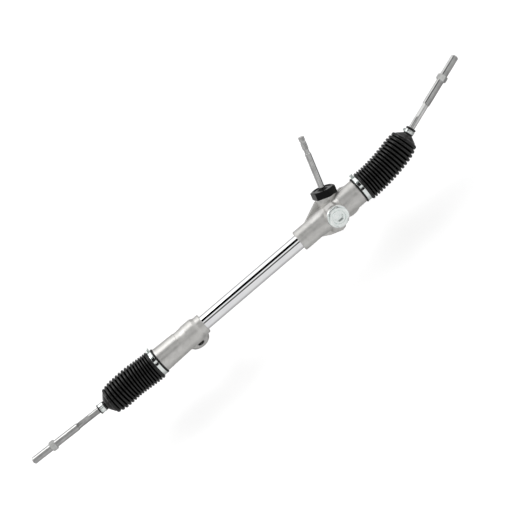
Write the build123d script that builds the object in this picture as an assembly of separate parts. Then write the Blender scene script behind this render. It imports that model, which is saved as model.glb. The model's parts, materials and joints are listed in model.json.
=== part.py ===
"""Manual rack-and-pinion steering gear with a plated centre tube and two cast end housings.

Modelling frame: the rack bar lies on X with the pinion towards +X, +Y points to the rear of the
vehicle and +Z up. The pieces are written in the row frame, whose origin is the midpoint between
the two mounting bolts on the rear mounting face.
"""

from build123d import *
import math
import os

# ---------------------------------------------------------------- driving dimensions, mm and deg
# fits
SHAFT_FIT = 0.03  # radial, running
BALL_FIT = 0.05  # radial, spherical
THREAD_FIT = 0.1  # radial, plain stand-in for a thread
SOFT_GAP = 0.3  # between rubber and a piece of another body
STOP_GAP = 0.5  # axial, left at the end of the rack's travel

# rack bar
RACK_R = 12.0
RACK_TRAVEL = 60.0
RACK_SPIGOT_R = 8.0
RACK_SPIGOT_L = 14.0
RACK_CHAMFER = 1.0
LEFT_PIVOT_X = -332.0
RIGHT_PIVOT_X = 342.0

# rack and pinion teeth
PINION_TEETH = 7
NORMAL_MODULE = 1.6
NORMAL_PRESSURE_ANGLE = 20.0
PINION_SKEW = 16.5  # lean of the pinion along the rack, and helix angle of its teeth
PROFILE_SHIFT = 0.5  # in modules
RACK_ADDENDUM = 0.9  # in modules
RACK_PITCH_PLANE = 8.4  # from the rack's axis
PINION_TIP_R = 7.75
TIP_CLEARANCE = 0.3
BACKLASH = 0.2
TOOTH_RUN_OUT = 15.0  # toothed length past the travel, each way
GEAR_LENGTH = 30.0

# gear housing
PINION_X = 194.0
PINION_RAKE = 48.0  # of the pinion above the horizontal, towards the rear
GEAR_HOUSING_X0 = 105.0
HOUSING_END_X = 261.0
TUBE_COLLAR_R = 22.5
GEAR_BARREL_R = 24.5
END_BARREL_R = 26.5
COLLAR_TO_CROSSING = 48.0  # along the rack, from the collar's end to the pinion crossing
BARREL_TO_CROSSING = 24.0
BARREL_PAST_CROSSING = 12.0
END_BARREL_PAST_CROSSING = 22.0
PARTING_PAST_CROSSING = 44.0
SPIGOT_R = 24.5
SPIGOT_L = 15.0
TOWER_R = 23.0
TOWER_TOP = 35.0
LOWER_BOSS_R = 17.0
LOWER_BOSS_END = 42.0
WEB_THICKNESS = 9.0
WEB_OUTLINE = (  # from the crossing, along the rack and across it towards the tower
    (-74.0, -16.8),
    (-48.3, -26.3),
    (-30.0, -36.7),
    (-5.4, -45.2),
    (1.0, -41.9),
    (40.0, 0.0),
    (58.0, 14.0),
    (52.0, 22.0),
    (42.5, 25.9),
    (36.5, 25.3),
    (0.0, 33.0),
    (-14.0, 37.0),
    (-59.0, 16.8),
)
BRIDGE_W = 21.0
BRIDGE_END = 27.5
BRIDGE_FOOT = 24.0
BRIDGE_HEAD = 43.0
BRIDGE_HEAD_END = 20.5
BRIDGE_EDGE_R = 2.0
YOKE_BOSS_R = 23.5
YOKE_BOSS_TOP = 44.0
RACK_BORE_GAP = 1.2
PAD_RISE = 0.8
PAD_LENGTH = 32.0
PAD_FROM_DEG = 67.0
PAD_TO_DEG = 150.0
PARTING_W = 1.6
PARTING_RISE = 0.5

# centre tube
TUBE_R = 15.875
TUBE_WALL = 2.0
TUBE_SEAT = 22.0

# passenger-side housing
MOUNT_HOUSING_X1 = -146.5
LEFT_BARREL_R = 24.8  # of the turned outer barrel at its inner end
CAST_BARREL_R = 25.2
CAST_WAIST_R = 23.6
CAST_FROM_EYE = 30.0  # outwards, from the eye to the turned barrel
WAIST_FROM_EYE = 20.0
CAST_BARREL_FROM_EYE = 8.0
CAST_PAD_PAST_EYE = 10.0  # inwards
CAST_BARREL_PAST_EYE = 13.0
NECK_PAST_EYE = 20.0
CAST_PAD_FROM_DEG = 124.0
CAST_PAD_TO_DEG = 195.0
NECK_R = 21.8
RACK_BUSH_R = 15.5
RACK_BUSH_L = 24.0

# mounting eyes, their bolts run fore and aft
EYE_R = 24.0
EYE_Z = -37.0
EYE_REAR_Y = 38.0
LEFT_EYE_X = -178.0
RIGHT_EYE_X = 228.0
LEFT_EYE_FRONT_Y = -9.0
RIGHT_EYE_FRONT_Y = -3.0
EYE_FRONT_FILLET = 10.0
EYE_NECK_HALF = 17.0
SLEEVE_R = 9.5
SLEEVE_BORE_R = 7.1

# pinion shaft and its bearings, stations along the pinion from the rack's axis
PINION_COLLAR_R = 9.5
PINION_COLLAR_L = 3.0
BEARING_SEAT_R = 7.5
BEARING_R = 17.5
BEARING_W = 11.0
BEARING_BALL_R = 2.9
BEARING_BALLS = 8
BEARING_RACE_WALL = 3.0
CIRCLIP_T = 1.2
SHAFT_R = 6.5
NECK_SHAFT_R = 5.25
SPLINE_R = 6.2
SPLINE_TEETH = 26
SPLINE_DEPTH = 0.6
SPLINE_START = 138.0
PINION_TIP = 165.0
SHOULDER_L = 10.0
GROOVE_FROM_TIP = 9.0
GROOVE_W = 4.0
GROOVE_R = 5.3
JOURNAL_R = 5.0
JOURNAL_L = 17.0
JOURNAL_RELIEF = 0.6
LOWER_BUSH_R = 8.0
LOWER_BUSH_L = 14.0
PINION_CAVITY_R = 10.0
PLUG_AF = 46.5
PLUG_HEX_TOP = 50.5
PLUG_EDGE_R = 2.0
PLUG_TURN = 12.0
PLUG_RIM = 3.5
PLUG_BORE_R = 8.5
PLUG_RELIEF = 4.0
PLUG_DISH = 1.5
SEAL_R = 11.0
SEAL_W = 7.0
SEAL_SUNK = 0.5

# yoke that presses the rack on to the pinion
YOKE_R = 13.0
YOKE_FOOT = 4.5
YOKE_TOP = 27.0
LINER_T = 0.8
YOKE_SPRING_R = 7.0
YOKE_SPRING_WIRE = 2.4
YOKE_SPRING_POCKET = 9.0
YOKE_SPRING_TURNS = 3.0
O_RING_SECTION = 1.3
ADJUSTER_R = 14.0
ADJUSTER_FOOT = 30.0
ADJUSTER_TOP = 51.0
ADJUSTER_SOCKET_AF = 17.0
ADJUSTER_SOCKET_DEPTH = 7.0
ADJUSTER_POCKET_DEPTH = 6.0
LOCKNUT_FLANGE_R = 22.6
LOCKNUT_FLANGE_T = 2.6
LOCKNUT_AF = 38.0
LOCKNUT_T = 7.0

# inner ball joints, stations along the joint from its centre, outwards
BALL_R = 12.0
SEAT_T = 2.0
SOCKET_R = 17.5
SOCKET_LIP = 9.0
SOCKET_LIP_R = 15.4
SOCKET_CRIMP = 6.0
SOCKET_BARREL_END = -18.0
SOCKET_NOSE_R = 16.0
SOCKET_NOSE_AF = 27.0
SOCKET_INNER_END = -32.0
MOUTH_STATION = 5.2
MOUTH_R = 10.8
MOUTH_SLOPE = 0.72

# tie rods
LEFT_TILT = 2.5  # of the rod from the rack's axis, as it stands
RIGHT_TILT = 18.2
TILT_DIRECTION = (0.0, 0.848, 0.530)
ROD_NECK_R = 5.6
ROD_NECK_END = 20.0
ROD_R = 6.25
THREAD_R = 6.35
ROD_TIP = 254.0
THREAD_LENGTH = 113.0
FLAT_LENGTH = 31.0
FLAT_AF = 10.6
JAM_NUT_AF = 19.05
JAM_NUT_T = 11.5
JAM_NUT_FROM_TIP = 52.0
THREAD_PITCH_R = 6.0
NUT_COUNTERSINK = 0.6

# bellows boots
BOOT_CUFF_L = 19.0
BOOT_CUFF_R = 27.8
BOOT_LIP_R = 30.0
BOOT_LIP_L = 3.0
BOOT_RIBS = 16
BOOT_CREST_R = 30.8
BOOT_VALLEY_R = 25.2
BOOT_WALL = 1.3
BELLOWS_END = 54.0
BOOT_NECK_START = 70.0
BOOT_NECK_END = 88.0
BOOT_NECK_WALL = 3.0
BAND_T = 0.9
BAND_W = 8.0
BAND_EAR_H = 4.5
RING_T = 0.9
RING_W = 6.0
RING_STATION = 76.0

# ---------------------------------------------------------------- worked-out dimensions
SKEW = math.radians(PINION_SKEW)
RACK_PITCH = math.pi * NORMAL_MODULE
PITCH_R = PINION_TEETH * NORMAL_MODULE / (2 * math.cos(SKEW))
PRESSURE_ANGLE = math.atan(math.tan(math.radians(NORMAL_PRESSURE_ANGLE)) / math.cos(SKEW))
BASE_R = PITCH_R * math.cos(PRESSURE_ANGLE)
PINION_OFFSET = RACK_PITCH_PLANE + PITCH_R + PROFILE_SHIFT * NORMAL_MODULE
RACK_TIP_PLANE = RACK_PITCH_PLANE + RACK_ADDENDUM * NORMAL_MODULE
RACK_ROOT_PLANE = PINION_OFFSET - PINION_TIP_R - TIP_CLEARANCE
PINION_ROOT_R = PINION_OFFSET - RACK_TIP_PLANE - TIP_CLEARANCE
BEARING_FOOT = GEAR_LENGTH / 2 + PINION_COLLAR_L
BEARING_TOP = BEARING_FOOT + BEARING_W
SEAL_TOP = PLUG_HEX_TOP - PLUG_DISH - SEAL_SUNK
SEAL_FOOT = SEAL_TOP - SEAL_W
JOURNAL_END = GEAR_LENGTH / 2 + JOURNAL_L + 3.0
SOCKET_BORE_R = SOCKET_R + 1.5
SEAT_R = BALL_R + BALL_FIT + SEAT_T
CAVITY_R = SEAT_R + BALL_FIT
ORIGIN = Vector((LEFT_EYE_X + RIGHT_EYE_X) / 2, EYE_REAR_Y, EYE_Z)

# ---------------------------------------------------------------- frames
GEAR_FRAME = Rotation(PINION_RAKE, 0, 0)
PINION_AXIS = (math.sin(SKEW), math.cos(SKEW), 0)
PINION_FRAME = GEAR_FRAME * Location(
    Plane((PINION_X, 0, -PINION_OFFSET), x_dir=(0, 0, 1), z_dir=PINION_AXIS)
)
YOKE_FRAME = GEAR_FRAME * Pos(PINION_X, 0, 0)


def rod(radius, start, end):
    """Solid round along +Z from start to end."""
    return Pos(0, 0, start) * Cylinder(radius, end - start, align=(Align.CENTER, Align.CENTER, Align.MIN))


def ring(outer, inner, start, end):
    """Round with a bore, along +Z."""
    return rod(outer, start, end) - rod(inner, start - 1, end + 1)


def along_x(part, x=0.0):
    """Turns a piece built on +Z so that it lies on +X, from station x."""
    return Pos(x, 0, 0) * Rotation(0, 90, 0) * part


def turned(profile):
    """Solid of revolution about Z from (station, radius) points, closed to the axis."""
    first, last = profile[0][0], profile[-1][0]
    points = [(0, first)] + [(radius, station) for station, radius in profile] + [(0, last)]
    return revolve(Plane.XZ * make_face(Polyline(*points, close=True)), Axis.Z)


def hexagon(across_flats, start, end):
    """Hexagonal prism along +Z."""
    face = RegularPolygon(across_flats / 2, 6, major_radius=False)
    return Pos(0, 0, start) * extrude(face, end - start)


def side_frame(pivot_x, tilt):
    """Frame at a ball joint's centre, with Z along the tie rod as it stands."""
    outward = math.copysign(1, pivot_x)
    lean = math.radians(tilt)
    direction = Vector(outward * math.cos(lean), 0, 0) + Vector(TILT_DIRECTION).normalized() * math.sin(lean)
    return Location(Plane((pivot_x, 0, 0), x_dir=(0, -outward, 0), z_dir=direction))


def socket_frame(pivot_x):
    """Frame at a ball joint's centre, with Z outwards along the rack."""
    return side_frame(pivot_x, 0.0)


# ---------------------------------------------------------------- rack and pinion
def rack_bar():
    """Round bar with a flat row of straight teeth on its pinion side and a spigot at each end."""
    x0 = LEFT_PIVOT_X - SOCKET_INNER_END
    x1 = RIGHT_PIVOT_X + SOCKET_INNER_END
    bar = along_x(
        turned(
            [
                (x0 - RACK_SPIGOT_L, RACK_SPIGOT_R - RACK_CHAMFER),
                (x0 - RACK_SPIGOT_L + RACK_CHAMFER, RACK_SPIGOT_R),
                (x0, RACK_SPIGOT_R),
                (x0, RACK_R - RACK_CHAMFER),
                (x0 + RACK_CHAMFER, RACK_R),
                (x1 - RACK_CHAMFER, RACK_R),
                (x1, RACK_R - RACK_CHAMFER),
                (x1, RACK_SPIGOT_R),
                (x1 + RACK_SPIGOT_L - RACK_CHAMFER, RACK_SPIGOT_R),
                (x1 + RACK_SPIGOT_L, RACK_SPIGOT_R - RACK_CHAMFER),
            ]
        )
    )
    tan_normal = math.tan(math.radians(NORMAL_PRESSURE_ANGLE))
    half_pitch_gap = (RACK_PITCH / 2 + BACKLASH) / 2
    gap_tip = half_pitch_gap + (RACK_TIP_PLANE - RACK_PITCH_PLANE) * tan_normal
    gap_root = half_pitch_gap - (RACK_PITCH_PLANE - RACK_ROOT_PLANE) * tan_normal
    half_length = RACK_TRAVEL + TOOTH_RUN_OUT
    gaps = int(half_length / RACK_PITCH)
    points = [(-half_length - RACK_PITCH, -RACK_R - 1), (-half_length - RACK_PITCH, -RACK_TIP_PLANE)]
    for k in range(-gaps, gaps + 1):
        middle = (k + 0.5) * RACK_PITCH
        points.append((middle - gap_tip, -RACK_TIP_PLANE))
        points.append((middle - gap_root, -RACK_ROOT_PLANE))
        points.append((middle + gap_root, -RACK_ROOT_PLANE))
        points.append((middle + gap_tip, -RACK_TIP_PLANE))
    points.append((half_length + 2 * RACK_PITCH, -RACK_TIP_PLANE))
    points.append((half_length + 2 * RACK_PITCH, -RACK_R - 1))
    teeth = Pos(PINION_X, 0, 0) * Plane.XZ * make_face(Polyline(*points, close=True))
    cut = extrude(teeth, RACK_R + 1, both=True)
    return GEAR_FRAME * (bar - cut)


def involute_angle(radius):
    """Involute function of the pressure angle at a radius of the pinion."""
    alpha = math.acos(BASE_R / radius)
    return math.tan(alpha) - alpha


def pinion_section():
    """Transverse section of the pinion's teeth, with a gap facing the rack."""
    tan_normal = math.tan(math.radians(NORMAL_PRESSURE_ANGLE))
    thickness = (math.pi / 2 + 2 * PROFILE_SHIFT * tan_normal) * NORMAL_MODULE / math.cos(SKEW)
    half_at_pitch = thickness / (2 * PITCH_R)
    pitch_involute = math.tan(PRESSURE_ANGLE) - PRESSURE_ANGLE
    radii = [BASE_R + (PINION_TIP_R - BASE_R) * share for share in (0.0, 0.15, 0.45, 0.75, 1.0)]
    half = [half_at_pitch + pitch_involute - involute_angle(max(r, BASE_R * 1.000001)) for r in radii]
    root_half = half[0] - 0.05
    step = 2 * math.pi / PINION_TEETH

    def at(radius, angle):
        return (radius * math.cos(angle), radius * math.sin(angle))

    edges = []
    for k in range(PINION_TEETH):
        centre = (k + 0.5) * step
        low = [at(r, centre - h) for r, h in zip(radii, half)]
        high = [at(r, centre + h) for r, h in zip(radii, half)]
        foot_low = at(PINION_ROOT_R, centre - root_half)
        foot_high = at(PINION_ROOT_R, centre + root_half)
        next_foot = at(PINION_ROOT_R, centre + step - root_half)
        edges.append(Line(foot_low, low[0]))
        edges.append(Spline(*low))
        edges.append(ThreePointArc(low[-1], at(PINION_TIP_R, centre), high[-1]))
        edges.append(Spline(*reversed(high)))
        edges.append(Line(high[0], foot_high))
        edges.append(ThreePointArc(foot_high, at(PINION_ROOT_R, centre + step / 2), next_foot))
    return make_face(Curve() + edges)


def pinion_shaft():
    """Pinion gear with its journal, bearing seat, long input shaft and serrated end."""
    twist = -GEAR_LENGTH * math.tan(SKEW) / PITCH_R
    foot = Rotation(0, 0, math.degrees(-twist / 2)) * pinion_section()
    gear = Solid.extrude_linear_with_rotation(
        Pos(0, 0, -GEAR_LENGTH / 2) * foot.faces()[0],
        (0, 0, -GEAR_LENGTH / 2),
        (0, 0, GEAR_LENGTH),
        math.degrees(twist),
    )
    half = GEAR_LENGTH / 2
    shaft = turned(
        [
            (-JOURNAL_END, JOURNAL_R - 0.8),
            (-JOURNAL_END + 0.8, JOURNAL_R),
            (-half - 2.0, JOURNAL_R),
            (-half, PINION_ROOT_R - 0.4),
            (half, PINION_ROOT_R - 0.4),
            (half, PINION_COLLAR_R),
            (BEARING_FOOT, PINION_COLLAR_R),
            (BEARING_FOOT, BEARING_SEAT_R),
            (BEARING_TOP, BEARING_SEAT_R),
            (BEARING_TOP, SHAFT_R),
            (BEARING_TOP + CIRCLIP_T, SHAFT_R),
            (BEARING_TOP + CIRCLIP_T + 1.0, BEARING_SEAT_R),
            (BEARING_TOP + 5.0, BEARING_SEAT_R),
            (BEARING_TOP + 6.0, SHAFT_R),
            (SPLINE_START - SHOULDER_L, SHAFT_R),
            (SPLINE_START - SHOULDER_L + 1.0, NECK_SHAFT_R),
            (SPLINE_START - 1.0, NECK_SHAFT_R),
            (SPLINE_START, SPLINE_R - SPLINE_DEPTH),
            (PINION_TIP - GROOVE_FROM_TIP - GROOVE_W, SPLINE_R - SPLINE_DEPTH),
            (PINION_TIP - 0.8, SPLINE_R - SPLINE_DEPTH),
            (PINION_TIP, SPLINE_R - SPLINE_DEPTH - 0.8),
        ]
    )
    return PINION_FRAME * (shaft + gear + pinion_serrations())


def pinion_serrations():
    """Serrated sleeve of the shaft's end, cut through by a round groove for the pinch bolt."""
    step = 2 * math.pi / SPLINE_TEETH
    points = []
    for k in range(SPLINE_TEETH):
        for radius, angle in ((SPLINE_R, k * step), (SPLINE_R - SPLINE_DEPTH, (k + 0.5) * step)):
            points.append((radius * math.cos(angle), radius * math.sin(angle)))
    star = make_face(Polyline(*points, close=True))
    teeth = Pos(0, 0, SPLINE_START) * extrude(star, PINION_TIP - 0.8 - SPLINE_START)
    groove_top = PINION_TIP - GROOVE_FROM_TIP
    return teeth - ring(SPLINE_R + 1, SPLINE_R - SPLINE_DEPTH, groove_top - GROOVE_W, groove_top)


def pinion_bearing_inner():
    """Inner race of the pinion's ball bearing, tight on the shaft."""
    outer = BEARING_SEAT_R + BEARING_RACE_WALL
    race = ring(outer, BEARING_SEAT_R, BEARING_FOOT, BEARING_TOP)
    return PINION_FRAME * (race - bearing_track())


def pinion_bearing_outer():
    """Outer race of the pinion's ball bearing, tight in the tower."""
    race = ring(BEARING_R, BEARING_R - BEARING_RACE_WALL, BEARING_FOOT, BEARING_TOP)
    return PINION_FRAME * (race - bearing_track())


def ball_circle_r():
    """Radius of the circle through the bearing's ball centres."""
    return (BEARING_SEAT_R + BEARING_R) / 2


def bearing_track():
    """Groove that the bearing's balls run in."""
    return Pos(0, 0, BEARING_FOOT + BEARING_W / 2) * Torus(ball_circle_r(), BEARING_BALL_R + BALL_FIT)


def pinion_bearing_balls():
    """The bearing's balls, as separate solids."""
    balls = PolarLocations(ball_circle_r(), BEARING_BALLS)
    middle = Pos(0, 0, BEARING_FOOT + BEARING_W / 2)
    return PINION_FRAME * middle * Compound(children=[place * Sphere(BEARING_BALL_R) for place in balls])


def pinion_circlip():
    """Ring that holds the inner race on the shaft."""
    return PINION_FRAME * ring(BEARING_SEAT_R + 1.6, SHAFT_R, BEARING_TOP, BEARING_TOP + CIRCLIP_T)


def pinion_plug():
    """Black hexagon plug screwed into the tower on to the bearing, with a raised rim on top."""
    hexagonal = fillet(hexagon(PLUG_AF, TOWER_TOP, PLUG_HEX_TOP).edges().filter_by(Axis.Z), PLUG_EDGE_R)
    corner = PLUG_AF / math.sqrt(3)
    rounding = turned(
        [
            (TOWER_TOP, corner - 1.2),
            (TOWER_TOP + 1.0, corner),
            (PLUG_HEX_TOP - 1.6, corner),
            (PLUG_HEX_TOP, PLUG_AF / 2 - 0.6),
        ]
    )
    plug = Rotation(0, 0, PLUG_TURN) * (hexagonal & rounding)
    plug += rod(BEARING_R, BEARING_TOP, TOWER_TOP)
    plug -= turned(
        [
            (PLUG_HEX_TOP - PLUG_DISH, PLUG_AF / 2 - PLUG_RIM - PLUG_DISH),
            (PLUG_HEX_TOP + 0.1, PLUG_AF / 2 - PLUG_RIM),
        ]
    )
    plug -= rod(SEAL_R, SEAL_FOOT, PLUG_HEX_TOP)
    plug -= rod(PLUG_BORE_R, BEARING_TOP, SEAL_FOOT + 1)
    plug -= rod(BEARING_R - BEARING_RACE_WALL, BEARING_TOP - 1, BEARING_TOP + PLUG_RELIEF)
    return PINION_FRAME * plug


def pinion_seal():
    """Lip seal round the shaft, pressed into the plug."""
    body = ring(SEAL_R, SHAFT_R + SOFT_GAP, SEAL_FOOT, SEAL_TOP)
    relief = turned([(SEAL_TOP - 2.5, SHAFT_R + 1.2), (SEAL_TOP + 0.1, SEAL_R - 1.2)])
    return PINION_FRAME * (body - relief)


def pinion_lower_bush():
    """Bronze bush for the pinion's lower journal."""
    top = -GEAR_LENGTH / 2 - 4.0
    return PINION_FRAME * ring(LOWER_BUSH_R, JOURNAL_R + SHAFT_FIT, top - LOWER_BUSH_L, top)


# ---------------------------------------------------------------- gear housing
def eye(x, front_y):
    """Mounting eye: a round boss along Y under the barrel, with a tapered neck up to it."""
    length = EYE_REAR_Y - front_y
    boss = rod(EYE_R, 0, length)
    boss = fillet(boss.edges().group_by(Axis.Z)[0], EYE_FRONT_FILLET)
    boss = Pos(x, front_y, EYE_Z) * Rotation(-90, 0, 0) * boss
    outline = Polyline(
        (front_y + EYE_FRONT_FILLET, EYE_Z),
        (EYE_REAR_Y - 1.0, EYE_Z),
        (END_BARREL_R - 4.0, 0),
        (front_y + EYE_FRONT_FILLET, 0),
        close=True,
    )
    neck = Pos(x - EYE_NECK_HALF, 0, 0) * extrude(Plane.YZ * make_face(outline), 2 * EYE_NECK_HALF)
    return boss + neck


def sleeve_hole(x, front_y):
    """Bore for an eye's steel sleeve."""
    hole = rod(SLEEVE_R, 0, EYE_REAR_Y - front_y + 2)
    return Pos(x, front_y - 1, EYE_Z) * Rotation(-90, 0, 0) * hole


def mount_sleeve(x, front_y):
    """Steel sleeve that takes the clamping load of a mounting bolt."""
    sleeve = ring(SLEEVE_R, SLEEVE_BORE_R, 0, EYE_REAR_Y - front_y)
    return Pos(x, front_y, EYE_Z) * Rotation(-90, 0, 0) * sleeve


def pinion_webs():
    """Flat webs that brace the tower and the lower boss against the barrel."""
    outline = Polyline(*[(PINION_X + along, across) for along, across in WEB_OUTLINE], close=True)
    web = extrude(make_face(outline), WEB_THICKNESS / 2, both=True)
    return Pos(0, 0, -PINION_OFFSET) * web


def yoke_bridge():
    """Block that ties the foot of the tower to the yoke boss, with a flat sloping top."""
    head = [(0, BRIDGE_HEAD), (BRIDGE_HEAD_END, BRIDGE_HEAD)]
    outline = Polyline((0, 0), *head, (BRIDGE_END, BRIDGE_FOOT), (BRIDGE_END, 0), close=True)
    block = extrude(Plane.YZ * make_face(outline), BRIDGE_W / 2, both=True)
    sloping = block.faces().sort_by(Axis((0, 0, 0), (0, 1, 1)))[-1]
    return Pos(PINION_X - 1.0, 0, 0) * fillet(sloping.edges().filter_by(Plane.YZ), BRIDGE_EDGE_R)


def parting_ridge(profile):
    """Raised parting line of a casting, in the plane of X and Z, over (x, radius) points."""
    raised = [(x, radius + PARTING_RISE) for x, radius in profile]
    outline = Polyline((profile[0][0], 0), *raised, (profile[-1][0], 0), close=True)
    return extrude(Plane.XZ * make_face(outline), PARTING_W / 2, both=True)


def barrel_pad(x0, x1, radius, from_deg, to_deg):
    """Slightly raised pad on a barrel, between two angles about X from +Y towards +Z."""
    sweep_deg = to_deg - from_deg
    outer = Cylinder(radius + PAD_RISE, x1 - x0, arc_size=sweep_deg, align=(Align.NONE, Align.NONE, Align.MIN))
    turn = Rotation(from_deg, 0, 0) * Pos(x0, 0, 0) * Plane.YZ.location
    return turn * outer


def gear_housing():
    """Aluminium casting: tube collar, gear barrel, pinion tower, lower boss, yoke boss and eye."""
    barrel = along_x(
        turned(
            [
                (GEAR_HOUSING_X0, TUBE_COLLAR_R - 1.0),
                (GEAR_HOUSING_X0 + 1.0, TUBE_COLLAR_R),
                (PINION_X - COLLAR_TO_CROSSING, TUBE_COLLAR_R),
                (PINION_X - BARREL_TO_CROSSING, GEAR_BARREL_R),
                (PINION_X + BARREL_PAST_CROSSING, GEAR_BARREL_R),
                (PINION_X + END_BARREL_PAST_CROSSING, END_BARREL_R),
                (HOUSING_END_X - 1.0, END_BARREL_R),
                (HOUSING_END_X, END_BARREL_R - 1.0),
                (HOUSING_END_X, SPIGOT_R),
                (HOUSING_END_X + SPIGOT_L - 1.0, SPIGOT_R),
                (HOUSING_END_X + SPIGOT_L, SPIGOT_R - 1.0),
            ]
        )
    )
    ridge = parting_ridge(
        [
            (PINION_X - COLLAR_TO_CROSSING + 1.0, TUBE_COLLAR_R),
            (PINION_X - BARREL_TO_CROSSING, GEAR_BARREL_R),
            (PINION_X + BARREL_PAST_CROSSING, GEAR_BARREL_R),
            (PINION_X + END_BARREL_PAST_CROSSING, END_BARREL_R),
            (PINION_X + PARTING_PAST_CROSSING, END_BARREL_R),
        ]
    )
    casting = GEAR_FRAME * (barrel + pinion_webs() + yoke_bridge() + ridge)
    casting += PINION_FRAME * turned(
        [
            (-LOWER_BOSS_END, LOWER_BOSS_R - 6.0),
            (-LOWER_BOSS_END + 1.8, LOWER_BOSS_R - 2.0),
            (-LOWER_BOSS_END + 5.0, LOWER_BOSS_R),
            (-14.0, LOWER_BOSS_R),
            (4.0, TOWER_R),
            (TOWER_TOP, TOWER_R),
        ]
    )
    casting += YOKE_FRAME * turned(
        [(0, YOKE_BOSS_R), (YOKE_BOSS_TOP - 1.0, YOKE_BOSS_R), (YOKE_BOSS_TOP, YOKE_BOSS_R - 1.0)]
    )
    casting += eye(RIGHT_EYE_X, RIGHT_EYE_FRONT_Y)
    pad_x0 = GEAR_HOUSING_X0 + 4.5
    casting += GEAR_FRAME * barrel_pad(pad_x0, pad_x0 + PAD_LENGTH, TUBE_COLLAR_R, PAD_FROM_DEG, PAD_TO_DEG)
    return casting - gear_cavities()


def gear_cavities():
    """Everything bored out of the gear housing."""
    bores = along_x(rod(TUBE_R, GEAR_HOUSING_X0 - 1, GEAR_HOUSING_X0 + TUBE_SEAT))
    bores += along_x(rod(RACK_R + RACK_BORE_GAP, GEAR_HOUSING_X0, HOUSING_END_X))
    floor_x = RIGHT_PIVOT_X + SOCKET_INNER_END - RACK_TRAVEL - STOP_GAP
    bores += along_x(rod(SOCKET_BORE_R, floor_x, HOUSING_END_X + SPIGOT_L + 1))
    bush_foot = -GEAR_LENGTH / 2 - 4.0 - LOWER_BUSH_L
    pinion = turned(
        [
            (-JOURNAL_END - 1.5, JOURNAL_R + JOURNAL_RELIEF),
            (bush_foot, JOURNAL_R + JOURNAL_RELIEF),
            (bush_foot, LOWER_BUSH_R),
            (-GEAR_LENGTH / 2 - 1.0, LOWER_BUSH_R),
            (-GEAR_LENGTH / 2 - 1.0, PINION_CAVITY_R),
            (BEARING_FOOT, PINION_CAVITY_R),
            (BEARING_FOOT, BEARING_R),
            (TOWER_TOP + 1, BEARING_R),
        ]
    )
    yoke = turned(
        [
            (0, YOKE_R + SHAFT_FIT),
            (ADJUSTER_FOOT - 1.0, YOKE_R + SHAFT_FIT),
            (ADJUSTER_FOOT - 1.0, ADJUSTER_R),
            (YOKE_BOSS_TOP + 1, ADJUSTER_R),
        ]
    )
    bores += PINION_FRAME * pinion
    bores += YOKE_FRAME * yoke
    return bores + sleeve_hole(RIGHT_EYE_X, RIGHT_EYE_FRONT_Y)


# ---------------------------------------------------------------- yoke
def rack_yoke():
    """Aluminium plunger with a round saddle for the rack and a pocket for its spring."""
    body = turned(
        [(YOKE_FOOT, YOKE_R), (YOKE_TOP - 1.0, YOKE_R), (YOKE_TOP, YOKE_R - 1.0)]
    )
    body -= Rotation(0, 90, 0) * Cylinder(RACK_R + SHAFT_FIT + LINER_T, 2 * YOKE_R + 2)
    body -= rod(YOKE_SPRING_POCKET, YOKE_TOP - ADJUSTER_POCKET_DEPTH, YOKE_TOP + 1)
    groove = Pos(0, 0, o_ring_station()) * Torus(o_ring_circle_r(), O_RING_SECTION)
    return YOKE_FRAME * (body - groove)


def o_ring_station():
    """Height of the yoke's sealing ring above the rack's axis."""
    return YOKE_TOP - 4.0


def o_ring_circle_r():
    """Radius of the sealing ring's centre line, so that it touches the bore."""
    return YOKE_R + SHAFT_FIT - O_RING_SECTION


def yoke_o_ring():
    """Rubber ring in the yoke's groove, which damps its rattle."""
    return YOKE_FRAME * Pos(0, 0, o_ring_station()) * Torus(o_ring_circle_r(), O_RING_SECTION)


def yoke_liner():
    """Low-friction liner between the yoke's saddle and the rack."""
    length = 2 * math.sqrt(YOKE_R**2 - (RACK_R + LINER_T) ** 2 / 2)
    shell = Rotation(0, 90, 0) * (
        Cylinder(RACK_R + SHAFT_FIT + LINER_T, length) - Cylinder(RACK_R + SHAFT_FIT, length + 2)
    )
    keep = rod(YOKE_R, YOKE_FOOT, YOKE_TOP)
    return YOKE_FRAME * (shell & keep)


def yoke_spring():
    """Coil spring between the yoke and its plug."""
    foot = YOKE_TOP - ADJUSTER_POCKET_DEPTH + YOKE_SPRING_WIRE / 2 + 0.1
    top = ADJUSTER_FOOT + ADJUSTER_POCKET_DEPTH - YOKE_SPRING_WIRE / 2 - 0.1
    path = Pos(0, 0, foot) * Helix((top - foot) / YOKE_SPRING_TURNS, top - foot, YOKE_SPRING_R)
    section = Plane(path @ 0, z_dir=path % 0) * Circle(YOKE_SPRING_WIRE / 2)
    return YOKE_FRAME * sweep(section, path, is_frenet=True)


def yoke_plug():
    """Threaded adjuster plug with a hexagon socket, which sets the yoke's clearance."""
    plug = turned(
        [
            (ADJUSTER_FOOT, ADJUSTER_R - 1.0),
            (ADJUSTER_FOOT + 1.0, ADJUSTER_R),
            (ADJUSTER_TOP - 1.0, ADJUSTER_R),
            (ADJUSTER_TOP, ADJUSTER_R - 1.0),
        ]
    )
    plug -= rod(YOKE_SPRING_POCKET, ADJUSTER_FOOT - 1, ADJUSTER_FOOT + ADJUSTER_POCKET_DEPTH)
    plug -= hexagon(ADJUSTER_SOCKET_AF, ADJUSTER_TOP - ADJUSTER_SOCKET_DEPTH, ADJUSTER_TOP + 1)
    return YOKE_FRAME * plug


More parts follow.
